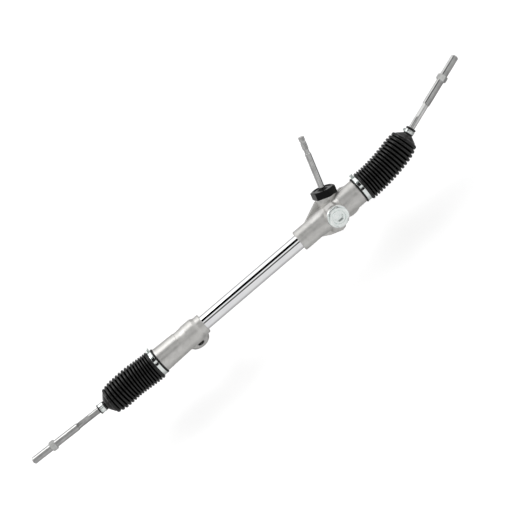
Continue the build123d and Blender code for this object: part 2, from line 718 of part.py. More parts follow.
def yoke_locknut():
    """Flanged hexagon locknut on the adjuster plug."""
    flange_top = YOKE_BOSS_TOP + LOCKNUT_FLANGE_T
    nut_top = YOKE_BOSS_TOP + LOCKNUT_T
    flange = turned(
        [
            (YOKE_BOSS_TOP, LOCKNUT_FLANGE_R),
            (flange_top - 0.8, LOCKNUT_FLANGE_R),
            (flange_top, LOCKNUT_FLANGE_R - 0.8),
        ]
    )
    corner = LOCKNUT_AF / math.sqrt(3)
    chamfer = turned([(flange_top - 1, corner), (nut_top - 1.4, corner), (nut_top, LOCKNUT_AF / 2 - 0.8)])
    nut = flange + (hexagon(LOCKNUT_AF, flange_top - 1, nut_top) & chamfer)
    return YOKE_FRAME * (nut - rod(ADJUSTER_R, YOKE_BOSS_TOP - 1, nut_top + 1))


# ---------------------------------------------------------------- tube and passenger-side housing
def rack_tube():
    """Plated steel tube, pressed into the collar of each housing."""
    x0 = MOUNT_HOUSING_X1 - TUBE_SEAT
    x1 = GEAR_HOUSING_X0 + TUBE_SEAT
    return along_x(ring(TUBE_R, TUBE_R - TUBE_WALL, x0, x1))


def mount_housing():
    """Aluminium casting on the passenger side, with the rack bush and the second eye."""
    barrel = along_x(
        turned(
            [
                (-HOUSING_END_X - SPIGOT_L, SPIGOT_R - 1.0),
                (-HOUSING_END_X - SPIGOT_L + 1.0, SPIGOT_R),
                (-HOUSING_END_X, SPIGOT_R),
                (-HOUSING_END_X, END_BARREL_R - 1.0),
                (-HOUSING_END_X + 1.0, END_BARREL_R),
                (LEFT_EYE_X - CAST_FROM_EYE, LEFT_BARREL_R),
                (LEFT_EYE_X - CAST_FROM_EYE + 0.6, CAST_WAIST_R),
                (LEFT_EYE_X - WAIST_FROM_EYE, CAST_WAIST_R),
                (LEFT_EYE_X - CAST_BARREL_FROM_EYE, CAST_BARREL_R),
                (LEFT_EYE_X + CAST_BARREL_PAST_EYE, CAST_BARREL_R),
                (LEFT_EYE_X + NECK_PAST_EYE, NECK_R),
                (MOUNT_HOUSING_X1 - 1.0, NECK_R),
                (MOUNT_HOUSING_X1, NECK_R - 1.0),
            ]
        )
    )
    casting = barrel + eye(LEFT_EYE_X, LEFT_EYE_FRONT_Y)
    pad_x0 = LEFT_EYE_X - CAST_FROM_EYE
    pad_x1 = LEFT_EYE_X + CAST_PAD_PAST_EYE
    casting += barrel_pad(pad_x0, pad_x1, LEFT_BARREL_R, CAST_PAD_FROM_DEG, CAST_PAD_TO_DEG)
    bores = along_x(rod(TUBE_R, MOUNT_HOUSING_X1 - TUBE_SEAT, MOUNT_HOUSING_X1 + 1))
    bores += along_x(rod(RACK_R + RACK_BORE_GAP, -HOUSING_END_X, MOUNT_HOUSING_X1))
    bores += along_x(rod(RACK_BUSH_R, left_floor_x(), left_floor_x() + RACK_BUSH_L))
    bores += along_x(rod(SOCKET_BORE_R, -HOUSING_END_X - SPIGOT_L - 1, left_floor_x()))
    return casting - bores - sleeve_hole(LEFT_EYE_X, LEFT_EYE_FRONT_Y)


def left_floor_x():
    """Shoulder that the left ball socket stops against."""
    return LEFT_PIVOT_X - SOCKET_INNER_END + RACK_TRAVEL + STOP_GAP


def rack_bush():
    """Polymer bush that carries the free end of the rack."""
    return along_x(ring(RACK_BUSH_R, RACK_R + SHAFT_FIT, left_floor_x(), left_floor_x() + RACK_BUSH_L))


# ---------------------------------------------------------------- inner ball joints and tie rods
def ball_socket(pivot_x):
    """Steel socket screwed on to the rack's end, with flats for a wrench."""
    body = turned(
        [
            (SOCKET_BARREL_END, SOCKET_R - 1.5),
            (SOCKET_BARREL_END + 1.5, SOCKET_R),
            (SOCKET_LIP - SOCKET_CRIMP, SOCKET_R),
            (SOCKET_LIP, SOCKET_LIP_R),
        ]
    )
    nose = rod(SOCKET_NOSE_R, SOCKET_INNER_END, SOCKET_BARREL_END)
    flats_middle = (SOCKET_INNER_END + SOCKET_BARREL_END) / 2
    slab = Pos(0, 0, flats_middle) * Box(SOCKET_NOSE_AF, 4 * SOCKET_NOSE_R, 4 * SOCKET_NOSE_R)
    body += nose & slab
    body -= Sphere(CAVITY_R)
    mouth_end = SOCKET_LIP + 1.0
    body -= turned([(MOUTH_STATION, MOUTH_R), (mouth_end, MOUTH_R + MOUTH_SLOPE * (mouth_end - MOUTH_STATION))])
    body -= rod(RACK_SPIGOT_R, SOCKET_INNER_END - 1, SOCKET_INNER_END + RACK_SPIGOT_L)
    return socket_frame(pivot_x) * body


def ball_seat(pivot_x):
    """Polymer cup round the ball, open towards the rod."""
    shell = Sphere(SEAT_R) - Sphere(BALL_R + BALL_FIT)
    return socket_frame(pivot_x) * (shell - rod(SEAT_R + 1, MOUTH_STATION, SEAT_R + 1))


def tie_rod(pivot_x, tilt):
    """Inner tie rod: ball, neck, shank, wrench flats and threaded end.

    The thread is plain at its major radius, and at its pitch radius where the nut engages it.
    """
    thread_start = ROD_TIP - THREAD_LENGTH
    nut_middle = ROD_TIP - JAM_NUT_FROM_TIP
    engaged = JAM_NUT_T + 2 * NUT_COUNTERSINK
    flat_start = thread_start - FLAT_LENGTH
    shank = turned(
        [
            (0, ROD_NECK_R),
            (ROD_NECK_END, ROD_NECK_R),
            (ROD_NECK_END + 5.0, ROD_R),
            (thread_start - 1.5, ROD_R),
            (thread_start, THREAD_R),
            (nut_middle - engaged / 2, THREAD_R),
            (nut_middle - engaged / 2, THREAD_PITCH_R),
            (nut_middle + engaged / 2, THREAD_PITCH_R),
            (nut_middle + engaged / 2, THREAD_R),
            (ROD_TIP - 1.5, THREAD_R),
            (ROD_TIP, THREAD_R - 1.5),
        ]
    )
    middle = flat_start + FLAT_LENGTH / 2
    for side in (-1, 1):
        offset = side * (FLAT_AF / 2 + ROD_R / 2)
        shank -= Pos(offset, 0, middle) * Box(ROD_R, 4 * ROD_R, FLAT_LENGTH)
    return side_frame(pivot_x, tilt) * (Sphere(BALL_R) + shank)


def jam_nut(pivot_x, tilt):
    """Hexagon jam nut that locks the outer tie rod end."""
    middle = ROD_TIP - JAM_NUT_FROM_TIP
    foot = middle - JAM_NUT_T / 2
    top = middle + JAM_NUT_T / 2
    corner = JAM_NUT_AF / math.sqrt(3)
    rounding = turned([(foot, corner - 1.0), (foot + 0.9, corner), (top - 0.9, corner), (top, corner - 1.0)])
    nut = (hexagon(JAM_NUT_AF, foot, top) & rounding) - rod(THREAD_PITCH_R, foot - 1, top + 1)
    return side_frame(pivot_x, tilt) * Rotation(0, 0, 90) * nut


# ---------------------------------------------------------------- boots and clamps
def boot_line(pivot_x, tilt):
    """Centre line of a boot: returns its length and a function from distance to plane."""
    outward = math.copysign(1, pivot_x)
    start = outward * (HOUSING_END_X + SPIGOT_L)
    tangent = abs(pivot_x - start)
    lean = math.radians(tilt)
    radius = tangent / math.tan(lean / 2)
    bend = radius * lean
    along = Vector(outward, 0, 0)
    across = Vector(TILT_DIRECTION).normalized()

    def plane_at(distance):
        angle = min(max(distance, 0.0), bend) / radius
        direction = along * math.cos(angle) + across * math.sin(angle)
        point = Vector(start, 0, 0) + along * (radius * math.sin(angle)) + across * (radius * (1 - math.cos(angle)))
        point += direction * (min(distance, 0.0) + max(distance - bend, 0.0))
        return Plane(point, x_dir=across.cross(along), z_dir=direction)

    return bend - tangent, plane_at


def round_loft(stations, plane_at):
    """Skin through circles of given radius across the boot's centre line."""
    return loft([plane_at(distance) * Circle(radius) for distance, radius in stations], ruled=True)


def boot(pivot_x, tilt):
    """Rubber bellows from the housing's spigot to the tie rod."""
    pivot_at, plane_at = boot_line(pivot_x, tilt)
    cuff_start = -SPIGOT_L
    cuff_end = cuff_start + BOOT_CUFF_L
    last_rib = pivot_at + BELLOWS_END
    pitch = (last_rib - cuff_end) / BOOT_RIBS
    outer = [
        (cuff_start, BOOT_LIP_R),
        (cuff_start + BOOT_LIP_L, BOOT_LIP_R),
        (cuff_start + BOOT_LIP_L + 0.01, BOOT_CUFF_R),
        (cuff_end - 0.6, BOOT_CUFF_R),
    ]
    for k in range(BOOT_RIBS):
        outer.append((cuff_end + k * pitch, BOOT_VALLEY_R))
        outer.append((cuff_end + (k + 0.5) * pitch, BOOT_CREST_R))
    neck_r = ROD_R + SOFT_GAP + BOOT_NECK_WALL
    outer.append((last_rib, BOOT_VALLEY_R))
    outer.append((pivot_at + BOOT_NECK_START, neck_r))
    outer.append((pivot_at + BOOT_NECK_END, neck_r))
    bore = ROD_R + SOFT_GAP
    inner_r = BOOT_VALLEY_R - BOOT_WALL
    inner = [(0.0, inner_r)]
    inner += [(last_rib * share, inner_r) for share in (0.2, 0.4, 0.6, 0.8, 1.0)]
    inner += [(pivot_at + BOOT_NECK_START, bore), (pivot_at + BOOT_NECK_END + 1, bore)]
    body = round_loft(outer, plane_at) - round_loft(inner, plane_at)
    return body - round_loft([(cuff_start - 1, SPIGOT_R), (0.0, SPIGOT_R)], plane_at)


def boot_band(pivot_x):
    """Steel band clamp round the boot's cuff, with its tightening ear."""
    outward = math.copysign(1, pivot_x)
    start = HOUSING_END_X + BOOT_LIP_L + 1.0
    outer = BOOT_CUFF_R + BAND_T
    band = ring(outer, BOOT_CUFF_R, start, start + BAND_W)
    ear = Pos(0, outer + BAND_EAR_H / 2 - 0.2, start + BAND_W / 2) * Box(7.0, BAND_EAR_H, BAND_W - 1.0)
    ear = fillet(ear.edges().filter_by(Axis.Z).group_by(Axis.Y)[-1], 2.0)
    window = Pos(0, outer + BAND_EAR_H / 2 - 0.6, start + BAND_W / 2) * Box(4.6, BAND_EAR_H - 1.6, BAND_W + 1)
    piece = band + (ear - window)
    across = Vector(TILT_DIRECTION).cross(Vector(outward, 0, 0))
    return Location(Plane((0, 0, 0), x_dir=across, z_dir=(outward, 0, 0))) * piece


def neck_clamp(pivot_x, tilt):
    """Spring clip round the boot's neck, with two finger ears."""
    inner = ROD_R + SOFT_GAP + BOOT_NECK_WALL + SOFT_GAP
    outer = inner + RING_T
    clip = ring(outer, inner, RING_STATION, RING_STATION + RING_W)
    for side in (-1, 1):
        clip += Pos(side * 2.2, outer + 1.8, RING_STATION + RING_W / 2) * Box(RING_T, 4.4, RING_W - 2.0)
    return side_frame(pivot_x, tilt) * clip


# ---------------------------------------------------------------- the assembly
def pieces():
    """Every node of the assembly, by name."""
    nodes = {
        "gear_housing": gear_housing(),
        "mount_housing": mount_housing(),
        "rack_tube": rack_tube(),
        "rack_bar": rack_bar(),
        "rack_bush": rack_bush(),
        "pinion_shaft": pinion_shaft(),
        "pinion_bearing_inner": pinion_bearing_inner(),
        "pinion_bearing_outer": pinion_bearing_outer(),
        "pinion_bearing_balls": pinion_bearing_balls(),
        "pinion_circlip": pinion_circlip(),
        "pinion_plug": pinion_plug(),
        "pinion_seal": pinion_seal(),
        "pinion_lower_bush": pinion_lower_bush(),
        "rack_yoke": rack_yoke(),
        "yoke_liner": yoke_liner(),
        "yoke_o_ring": yoke_o_ring(),
        "yoke_spring": yoke_spring(),
        "yoke_plug": yoke_plug(),
        "yoke_locknut": yoke_locknut(),
        "left_mount_sleeve": mount_sleeve(LEFT_EYE_X, LEFT_EYE_FRONT_Y),
        "right_mount_sleeve": mount_sleeve(RIGHT_EYE_X, RIGHT_EYE_FRONT_Y),
    }
    for side, pivot_x, tilt in (("left", LEFT_PIVOT_X, LEFT_TILT), ("right", RIGHT_PIVOT_X, RIGHT_TILT)):
        nodes[f"{side}_ball_socket"] = ball_socket(pivot_x)
        nodes[f"{side}_ball_seat"] = ball_seat(pivot_x)
        nodes[f"{side}_tie_rod"] = tie_rod(pivot_x, tilt)
        nodes[f"{side}_jam_nut"] = jam_nut(pivot_x, tilt)
        nodes[f"{side}_boot"] = boot(pivot_x, tilt)
        nodes[f"{side}_boot_band"] = boot_band(pivot_x)
        nodes[f"{side}_neck_clamp"] = neck_clamp(pivot_x, tilt)
    return nodes


def main():
    """Writes one STEP file per node, in the row frame."""
    os.makedirs("parts", exist_ok=True)
    to_row = Location(-ORIGIN)
    for name, piece in pieces().items():
        export_step(to_row * piece, f"parts/{name}.step")


main()
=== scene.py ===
"""Dresses a manual steering rack: cast housings, plated tube, rubber bellows, clamps and tie rods.

Every length is in metres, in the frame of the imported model: X runs along the rack towards the
pinion, Y to the rear of the vehicle and Z up.
"""

import json
import logging
import math
from dataclasses import dataclass, field
from enum import Enum
from typing import Iterable, Sequence

import bpy
from mathutils import Matrix, Vector

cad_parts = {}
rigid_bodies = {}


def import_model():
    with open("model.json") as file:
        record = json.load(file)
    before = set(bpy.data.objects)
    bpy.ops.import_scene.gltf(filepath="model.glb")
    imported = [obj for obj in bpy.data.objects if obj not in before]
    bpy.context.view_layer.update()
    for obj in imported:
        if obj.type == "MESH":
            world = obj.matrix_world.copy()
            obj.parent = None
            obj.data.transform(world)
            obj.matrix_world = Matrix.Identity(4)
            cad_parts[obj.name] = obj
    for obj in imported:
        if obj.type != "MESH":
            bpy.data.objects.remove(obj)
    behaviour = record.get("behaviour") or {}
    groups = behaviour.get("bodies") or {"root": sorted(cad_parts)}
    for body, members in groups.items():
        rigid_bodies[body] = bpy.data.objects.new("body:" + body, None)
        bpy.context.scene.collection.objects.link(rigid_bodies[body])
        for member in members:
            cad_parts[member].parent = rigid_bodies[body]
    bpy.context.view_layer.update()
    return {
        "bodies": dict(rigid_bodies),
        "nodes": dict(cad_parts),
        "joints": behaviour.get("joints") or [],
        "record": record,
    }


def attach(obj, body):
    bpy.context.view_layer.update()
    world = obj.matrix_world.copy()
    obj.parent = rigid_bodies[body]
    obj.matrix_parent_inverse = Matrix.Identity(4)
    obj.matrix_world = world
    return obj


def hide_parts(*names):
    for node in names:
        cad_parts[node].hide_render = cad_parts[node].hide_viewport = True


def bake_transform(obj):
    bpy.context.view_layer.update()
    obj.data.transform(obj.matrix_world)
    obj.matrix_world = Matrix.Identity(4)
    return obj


log = logging.getLogger("steering_rack")

MM = 0.001
RACK_LINE = Vector((0.0, -0.038, 0.037))
LEAN_SIDE = Vector((0.0, 0.848, 0.530)).normalized()
FRONT_SIDE = Vector((0.0, -0.530, 0.848)).normalized()
LEFT_PIVOT = Vector((-0.357, -0.038, 0.037))
RIGHT_PIVOT = Vector((0.317, -0.038, 0.037))
Point = tuple[float, float]


# ---------------------------------------------------------------- colour and nodes
def linear(code: str) -> tuple[float, float, float, float]:
    """Turns an sRGB hex colour into linear RGBA.

    Args:
        code: six hex digits, with or without a leading hash.

    Returns:
        The linear colour with an alpha of one.
    """
    digits = code.lstrip("#")
    channels = []
    for start in (0, 2, 4):
        value = int(digits[start : start + 2], 16) / 255
        channels.append(value / 12.92 if value <= 0.04045 else ((value + 0.055) / 1.055) ** 2.4)
    return (channels[0], channels[1], channels[2], 1.0)


def add_node(
    tree: bpy.types.NodeTree, kind: str, values: dict | None = None, links: dict | None = None, **settings
) -> bpy.types.Node:
    """Adds a node with its settings, socket values and incoming links.

    Args:
        tree: the node tree that takes the node.
        kind: the node's type name.
        values: socket name or index to a constant.
        links: socket name or index to the output that feeds it.
        settings: properties of the node itself.

    Returns:
        The new node.
    """
    made = tree.nodes.new(kind)
    for name, value in settings.items():
        setattr(made, name, value)
    for socket, value in (values or {}).items():
        made.inputs[socket].default_value = value
    for socket, source in (links or {}).items():
        tree.links.new(source, made.inputs[socket])
    return made


@dataclass(frozen=True)
class Finish:
    """A surface as it is made: its colour, how much it shines and what its grain is."""

    name: str
    colour: str
    dark: str
    metallic: float
    roughness: float
    roughness_spread: float
    mottle_mm: float
    grain_mm: float
    grain_height_mm: float
    specular: float = 0.5

    def build(self) -> bpy.types.Material:
        """Makes the material.

        Returns:
            A node material that reads Object coordinates.
        """
        material = bpy.data.materials.new(self.name)
        material.use_nodes = True
        tree = material.node_tree
        shader = tree.nodes["Principled BSDF"]
        place = add_node(tree, "ShaderNodeTexCoord").outputs["Object"]
        self.dress(tree, shader, place)
        return material

    def dress(self, tree: bpy.types.NodeTree, shader: bpy.types.Node, place: bpy.types.NodeSocket) -> None:
        """Feeds the shader with mottled colour, uneven gloss and a fine grain.

        Args:
            tree: the material's tree.
            shader: its Principled BSDF.
            place: the coordinates that the patterns follow.
        """
        shader.inputs["Metallic"].default_value = self.metallic
        shader.inputs["Specular IOR Level"].default_value = self.specular
        mottle = add_node(
            tree,
            "ShaderNodeTexNoise",
            {"Scale": 1 / (self.mottle_mm * MM), "Detail": 4.0, "Roughness": 0.6},
            {"Vector": place},
        ).outputs["Fac"]
        colour = add_node(
            tree,
            "ShaderNodeMix",
            {6: linear(self.dark), 7: linear(self.colour)},
            {0: add_node(tree, "ShaderNodeMapRange", {1: 0.35, 2: 0.6}, {0: mottle}).outputs[0]},
            data_type="RGBA",
        )
        tree.links.new(colour.outputs[2], shader.inputs["Base Color"])
        gloss = add_node(
            tree,
            "ShaderNodeMapRange",
            {1: 0.3, 2: 0.7, 3: self.roughness - self.roughness_spread, 4: self.roughness + self.roughness_spread},
            {0: mottle},
        )
        tree.links.new(gloss.outputs[0], shader.inputs["Roughness"])
        grain = add_node(
            tree,
            "ShaderNodeTexNoise",
            {"Scale": 1 / (self.grain_mm * MM), "Detail": 3.0, "Roughness": 0.55},
            {"Vector": place},
        )
        bump = add_node(
            tree,
            "ShaderNodeBump",
            {"Strength": 1.0, "Distance": self.grain_height_mm * MM},
            {"Height": grain.outputs["Fac"]},
        )
        tree.links.new(bump.outputs["Normal"], shader.inputs["Normal"])


@dataclass(frozen=True)
class StreakedFinish(Finish):
    """A metal that was drawn, ground or turned, with fine streaks along one direction."""

    along: Vector = field(default_factory=lambda: Vector((1.0, 0.0, 0.0)))
    streak_mm: float = 0.35
    streak_length_mm: float = 25.0
    streak_depth: float = 0.16

    def dress(self, tree: bpy.types.NodeTree, shader: bpy.types.Node, place: bpy.types.NodeSocket) -> None:
        """Adds streaks to the plain finish.

        Args:
            tree: the material's tree.
            shader: its Principled BSDF.
            place: the coordinates that the patterns follow.
        """
        super().dress(tree, shader, place)
        turn = self.along.rotation_difference(Vector((1.0, 0.0, 0.0))).to_euler()
        turned_place = add_node(
            tree, "ShaderNodeMapping", {"Rotation": tuple(turn)}, {"Vector": place}, vector_type="POINT"
        )
        drawn = add_node(
            tree,
            "ShaderNodeMapping",
            {"Scale": (self.streak_mm / self.streak_length_mm, 1.0, 1.0)},
            {"Vector": turned_place.outputs[0]},
        )
        streaks = add_node(
            tree,
            "ShaderNodeTexNoise",
            {"Scale": 1 / (self.streak_mm * MM), "Detail": 2.0},
            {"Vector": drawn.outputs[0]},
        )
        shade = add_node(
            tree,
            "ShaderNodeMapRange",
            {1: 0.35, 2: 0.65, 3: 1.0 - self.streak_depth, 4: 1.0},
            {0: streaks.outputs["Fac"]},
        )
        colour_in = shader.inputs["Base Color"]
        before = colour_in.links[0].from_socket
        shaded = add_node(
            tree,
            "ShaderNodeMix",
            {0: 1.0},
            {6: before, 7: shade.outputs[0]},
            data_type="RGBA",
            blend_type="MULTIPLY",
        )
        tree.links.new(shaded.outputs[2], colour_in)


@dataclass(frozen=True)
class PartTurnedFinish(Finish):
    """A casting whose barrel is turned between two stations along X, and as cast elsewhere."""

    turned_zone: Point = (0.0, 0.0)
    turned_roughness: float = 0.38
    tool_mark_mm: float = 0.7
    tool_mark_height_mm: float = 0.004

    def dress(self, tree: bpy.types.NodeTree, shader: bpy.types.Node, place: bpy.types.NodeSocket) -> None:
        """Gives the turned barrel a finer gloss with tool marks, and keeps the cast skin beside it.

        Args:
            tree: the material's tree.
            shader: its Principled BSDF.
            place: the coordinates that the patterns follow.
        """
        super().dress(tree, shader, place)
        start, end = self.turned_zone
        along = add_node(tree, "ShaderNodeSeparateXYZ", None, {"Vector": place}).outputs["X"]
        past = add_node(tree, "ShaderNodeMath", {1: start}, {0: along}, operation="GREATER_THAN")
        before = add_node(tree, "ShaderNodeMath", {1: end}, {0: along}, operation="LESS_THAN")
        zone = add_node(
            tree, "ShaderNodeMath", None, {0: past.outputs[0], 1: before.outputs[0]}, operation="MULTIPLY"
        ).outputs[0]
        cast_gloss = shader.inputs["Roughness"].links[0].from_socket
        gloss = add_node(
            tree, "ShaderNodeMix", {3: self.turned_roughness}, {0: zone, 2: cast_gloss}, data_type="FLOAT"
        )
        tree.links.new(gloss.outputs[0], shader.inputs["Roughness"])
        cast_normal = shader.inputs["Normal"].links[0].from_socket
        marks = add_node(
            tree,
            "ShaderNodeTexWave",
            {"Scale": 0.314 / (self.tool_mark_mm * MM), "Distortion": 0.3, "Detail": 1.0},
            {"Vector": place},
            bands_direction="X",
        )
        turned_bump = add_node(
            tree,
            "ShaderNodeBump",
            {"Strength": 1.0, "Distance": self.tool_mark_height_mm * MM},
            {"Height": marks.outputs["Fac"]},
        )
        normal = add_node(
            tree,
            "ShaderNodeMix",
            None,
            {0: zone, 4: cast_normal, 5: turned_bump.outputs["Normal"]},
            data_type="VECTOR",
        )
        tree.links.new(normal.outputs[1], shader.inputs["Normal"])


PINION_AXIS = Vector((0.284015, 0.641576, 0.712542))
LEFT_ROD_WAY = Vector((-0.999048, 0.036989, 0.023118))
RIGHT_ROD_WAY = Vector((0.949972, 0.264859, 0.165537))
MACHINED_BARREL = (-0.2855, -0.2332)
OILED_STEEL = ("#cfcfce", "#b9b9b8", 1.0, 0.09, 0.02, 12.0, 0.5, 0.001)
# same drawn steel as the right tie rod, with its colour painted darker as shade and a rougher gloss
SHADE_PAINTED_STEEL = ("#c3c3c2", "#b1b1b0", 1.0, 0.24, 0.04, 12.0, 0.5, 0.002)
DRAWN_STEEL = ("#dbdbda", "#cbcbca", 1.0, 0.16, 0.04, 12.0, 0.5, 0.002)


class Surface(Enum):
    """The finishes of this steering rack."""

    # gravity die casting, shot blasted: pale grey, satin, with a fine sandy grain
    CAST_ALUMINIUM = PartTurnedFinish(
        "Die-cast aluminium", "#dad9d6", "#cdccc9", 0.93, 0.42, 0.04, 11.0, 0.9, 0.045, turned_zone=MACHINED_BARREL
    )
    # hard chrome over a ground tube: a mirror with hardly any grain
    CHROME_PLATE = Finish("Hard chrome plate", "#f4f4f5", "#f0f0f2", 1.0, 0.035, 0.01, 30.0, 6.0, 0.0004)
    # zinc electroplate, blue passivated: bright, cool and faintly cloudy
    ZINC_PLATE = Finish("Blue-passivated zinc plate", "#f5f9f7", "#eaf1ef", 1.0, 0.2, 0.03, 7.0, 1.4, 0.0015)
    # thin zinc over hot-forged nuts: greyer and duller than on pressed strip
    DULL_ZINC = Finish("Dull zinc plate", "#ecedeb", "#dcdddb", 1.0, 0.24, 0.04, 4.0, 0.6, 0.004)
    # baked gloss enamel over forged steel: deep black with a slight orange peel
    BLACK_ENAMEL = Finish("Black enamel", "#050506", "#030303", 0.0, 0.11, 0.03, 8.0, 1.6, 0.012, 0.13)
    # injection-moulded neoprene: black, satin, with a greyish bloom
    BELLOWS_RUBBER = Finish("Moulded neoprene", "#060606", "#020202", 0.0, 0.2, 0.04, 14.0, 0.7, 0.008, 0.46)
    # nitrile rubber: matt black
    SEAL_RUBBER = Finish("Nitrile rubber", "#161616", "#0e0e0e", 0.0, 0.6, 0.05, 5.0, 0.5, 0.02)
    # oil-filled sintered bronze: brown gold with open pores
    SINTERED_BRONZE = Finish("Sintered bronze", "#b98a56", "#8e6338", 1.0, 0.45, 0.08, 1.2, 0.3, 0.02)
    # natural acetal: ivory, smooth and waxy
    ACETAL = Finish("Natural acetal", "#ece8d8", "#e4dfcc", 0.0, 0.35, 0.04, 6.0, 0.8, 0.01)
    # drawn and ground steel, oiled: neutral grey with fine streaks along the bar
    RACK_STEEL = StreakedFinish("Ground rack steel", *DRAWN_STEEL)
    PINION_STEEL = StreakedFinish("Ground pinion steel", *OILED_STEEL, along=PINION_AXIS)
    # the left tie rod is painted darker than the right one: painted shade on the same steel
    LEFT_ROD_STEEL = StreakedFinish("Drawn left rod steel, painted darker for shade", *SHADE_PAINTED_STEEL, along=LEFT_ROD_WAY)
    RIGHT_ROD_STEEL = StreakedFinish("Drawn right rod steel", *DRAWN_STEEL, along=RIGHT_ROD_WAY)


class Finisher:
    """Makes each finish once and puts it on pieces and carried-over nodes."""

    def __init__(self, frame: dict) -> None:
        """Keeps the frame and starts with no materials made."""
        self.frame = frame
        self.made: dict[str, bpy.types.Material] = {}

    def material(self, finish: Finish) -> bpy.types.Material:
        """Gives the material of a finish, made at its first use."""
        if finish.name not in self.made:
            self.made[finish.name] = finish.build()
        return self.made[finish.name]

    def paint(self, piece: bpy.types.Object, finish: Finish) -> None:
        """Puts one finish on a whole piece.

        Args:
            piece: a mesh object.
            finish: what it gets.
        """
        material = self.material(finish)
        if not piece.material_slots:
            piece.data.materials.append(material)
        for slot in piece.material_slots:
            slot.link = "OBJECT"
            slot.material = material

    def paint_nodes(self, names: Iterable[str], finish: Finish) -> None:
        """Puts one finish on carried-over CAD nodes."""
        for name in names:
            self.paint(self.frame["nodes"][name], finish)


# ---------------------------------------------------------------- modelling helpers
def deselect_all() -> None:
    """Leaves edit mode and selects nothing."""
    if bpy.context.object and bpy.context.object.mode != "OBJECT":
        bpy.ops.object.mode_set(mode="OBJECT")
    bpy.ops.object.select_all(action="DESELECT")


def select_only(piece: bpy.types.Object) -> None:
    """Makes one object the only one selected, and the active one."""
    deselect_all()
    piece.select_set(True)
    bpy.context.view_layer.objects.active = piece


def apply_modifiers(piece: bpy.types.Object) -> None:
    """Applies a piece's modifiers in their order."""
    select_only(piece)
    for name in [modifier.name for modifier in piece.modifiers]:
        bpy.ops.object.modifier_apply(modifier=name)


def settle(piece: bpy.types.Object, frame: Matrix | None = None) -> None:
    """Puts a piece at a frame and moves that place into its mesh.

    Args:
        piece: the object.
        frame: where it goes, or None where it stands.
    """
    if frame is not None:
        piece.matrix_world = frame
    select_only(piece)
    bpy.ops.object.transform_apply(location=True, rotation=True, scale=True)


def smooth(piece: bpy.types.Object, degrees: float = 35.0) -> None:
    """Shades a piece smooth up to an angle between its faces."""
    select_only(piece)
    bpy.ops.object.shade_smooth_by_angle(angle=math.radians(degrees))


def facing(origin: Vector, direction: Vector, up: Vector) -> Matrix:
    """Gives the frame at a point with X along a direction and Z nearest to another.

    Args:
        origin: the frame's place.
        direction: the way its X axis points.
        up: the way its Z axis leans.

    Returns:
        A rigid, right-handed transform.
    """
    x_axis = direction.normalized()
    y_axis = up.cross(x_axis).normalized()
    z_axis = x_axis.cross(y_axis)
    turn = Matrix((x_axis, y_axis, z_axis)).transposed().to_4x4()
    return Matrix.Translation(origin) @ turn


def profile_line(name: str, profile: Sequence[Point]) -> bpy.types.Object:
    """Draws a line through (station, radius) points in the XZ plane, and stays in edit mode.

    Args:
        name: the object's name.
        profile: the points from one end to the other, in metres.

    Returns:
        The line, with its last point selected.
    """
    deselect_all()
    bpy.ops.mesh.primitive_plane_add(size=0.002)
    piece = bpy.context.object
    piece.name = name
    bpy.ops.object.mode_set(mode="EDIT")
    bpy.ops.mesh.select_mode(type="VERT")
    bpy.ops.mesh.select_all(action="SELECT")
    bpy.ops.mesh.merge(type="CENTER")
    bpy.ops.transform.translate(value=(profile[0][0], 0.0, profile[0][1]))
    for (x0, r0), (x1, r1) in zip(profile, profile[1:]):
        bpy.ops.mesh.extrude_region_move(TRANSFORM_OT_translate={"value": (x1 - x0, 0.0, r1 - r0)})
    return piece


def turned(name: str, profile: Sequence[Point], segments: int = 64) -> bpy.types.Object:
    """Spins a profile of (station, radius) points round the X axis.

    Args:
        name: the object's name.
        profile: the points from one end to the other, in metres.
        segments: faces round the axis.

    Returns:
        The turned surface, open where its profile ends off the axis.
    """
    piece = profile_line(name, profile)
    bpy.ops.mesh.select_all(action="SELECT")
    bpy.ops.mesh.spin(steps=segments, angle=math.tau, center=(0.0, 0.0, 0.0), axis=(1.0, 0.0, 0.0))
    bpy.ops.mesh.select_all(action="SELECT")
    bpy.ops.mesh.remove_doubles(threshold=1e-6)
    bpy.ops.mesh.normals_make_consistent(inside=False)
    bpy.ops.object.mode_set(mode="OBJECT")
    return piece


def select_faces(piece: bpy.types.Object, wanted) -> None:
    """Enters edit mode with only some faces selected.

    Args:
        piece: the object.
        wanted: a test of a face's centre and normal.
    """
    select_only(piece)
    bpy.ops.object.mode_set(mode="EDIT")
    bpy.ops.mesh.select_mode(type="FACE")
    bpy.ops.mesh.select_all(action="DESELECT")
    bpy.ops.object.mode_set(mode="OBJECT")
    for polygon in piece.data.polygons:
        polygon.select = bool(wanted(polygon.center, polygon.normal))
    bpy.ops.object.mode_set(mode="EDIT")


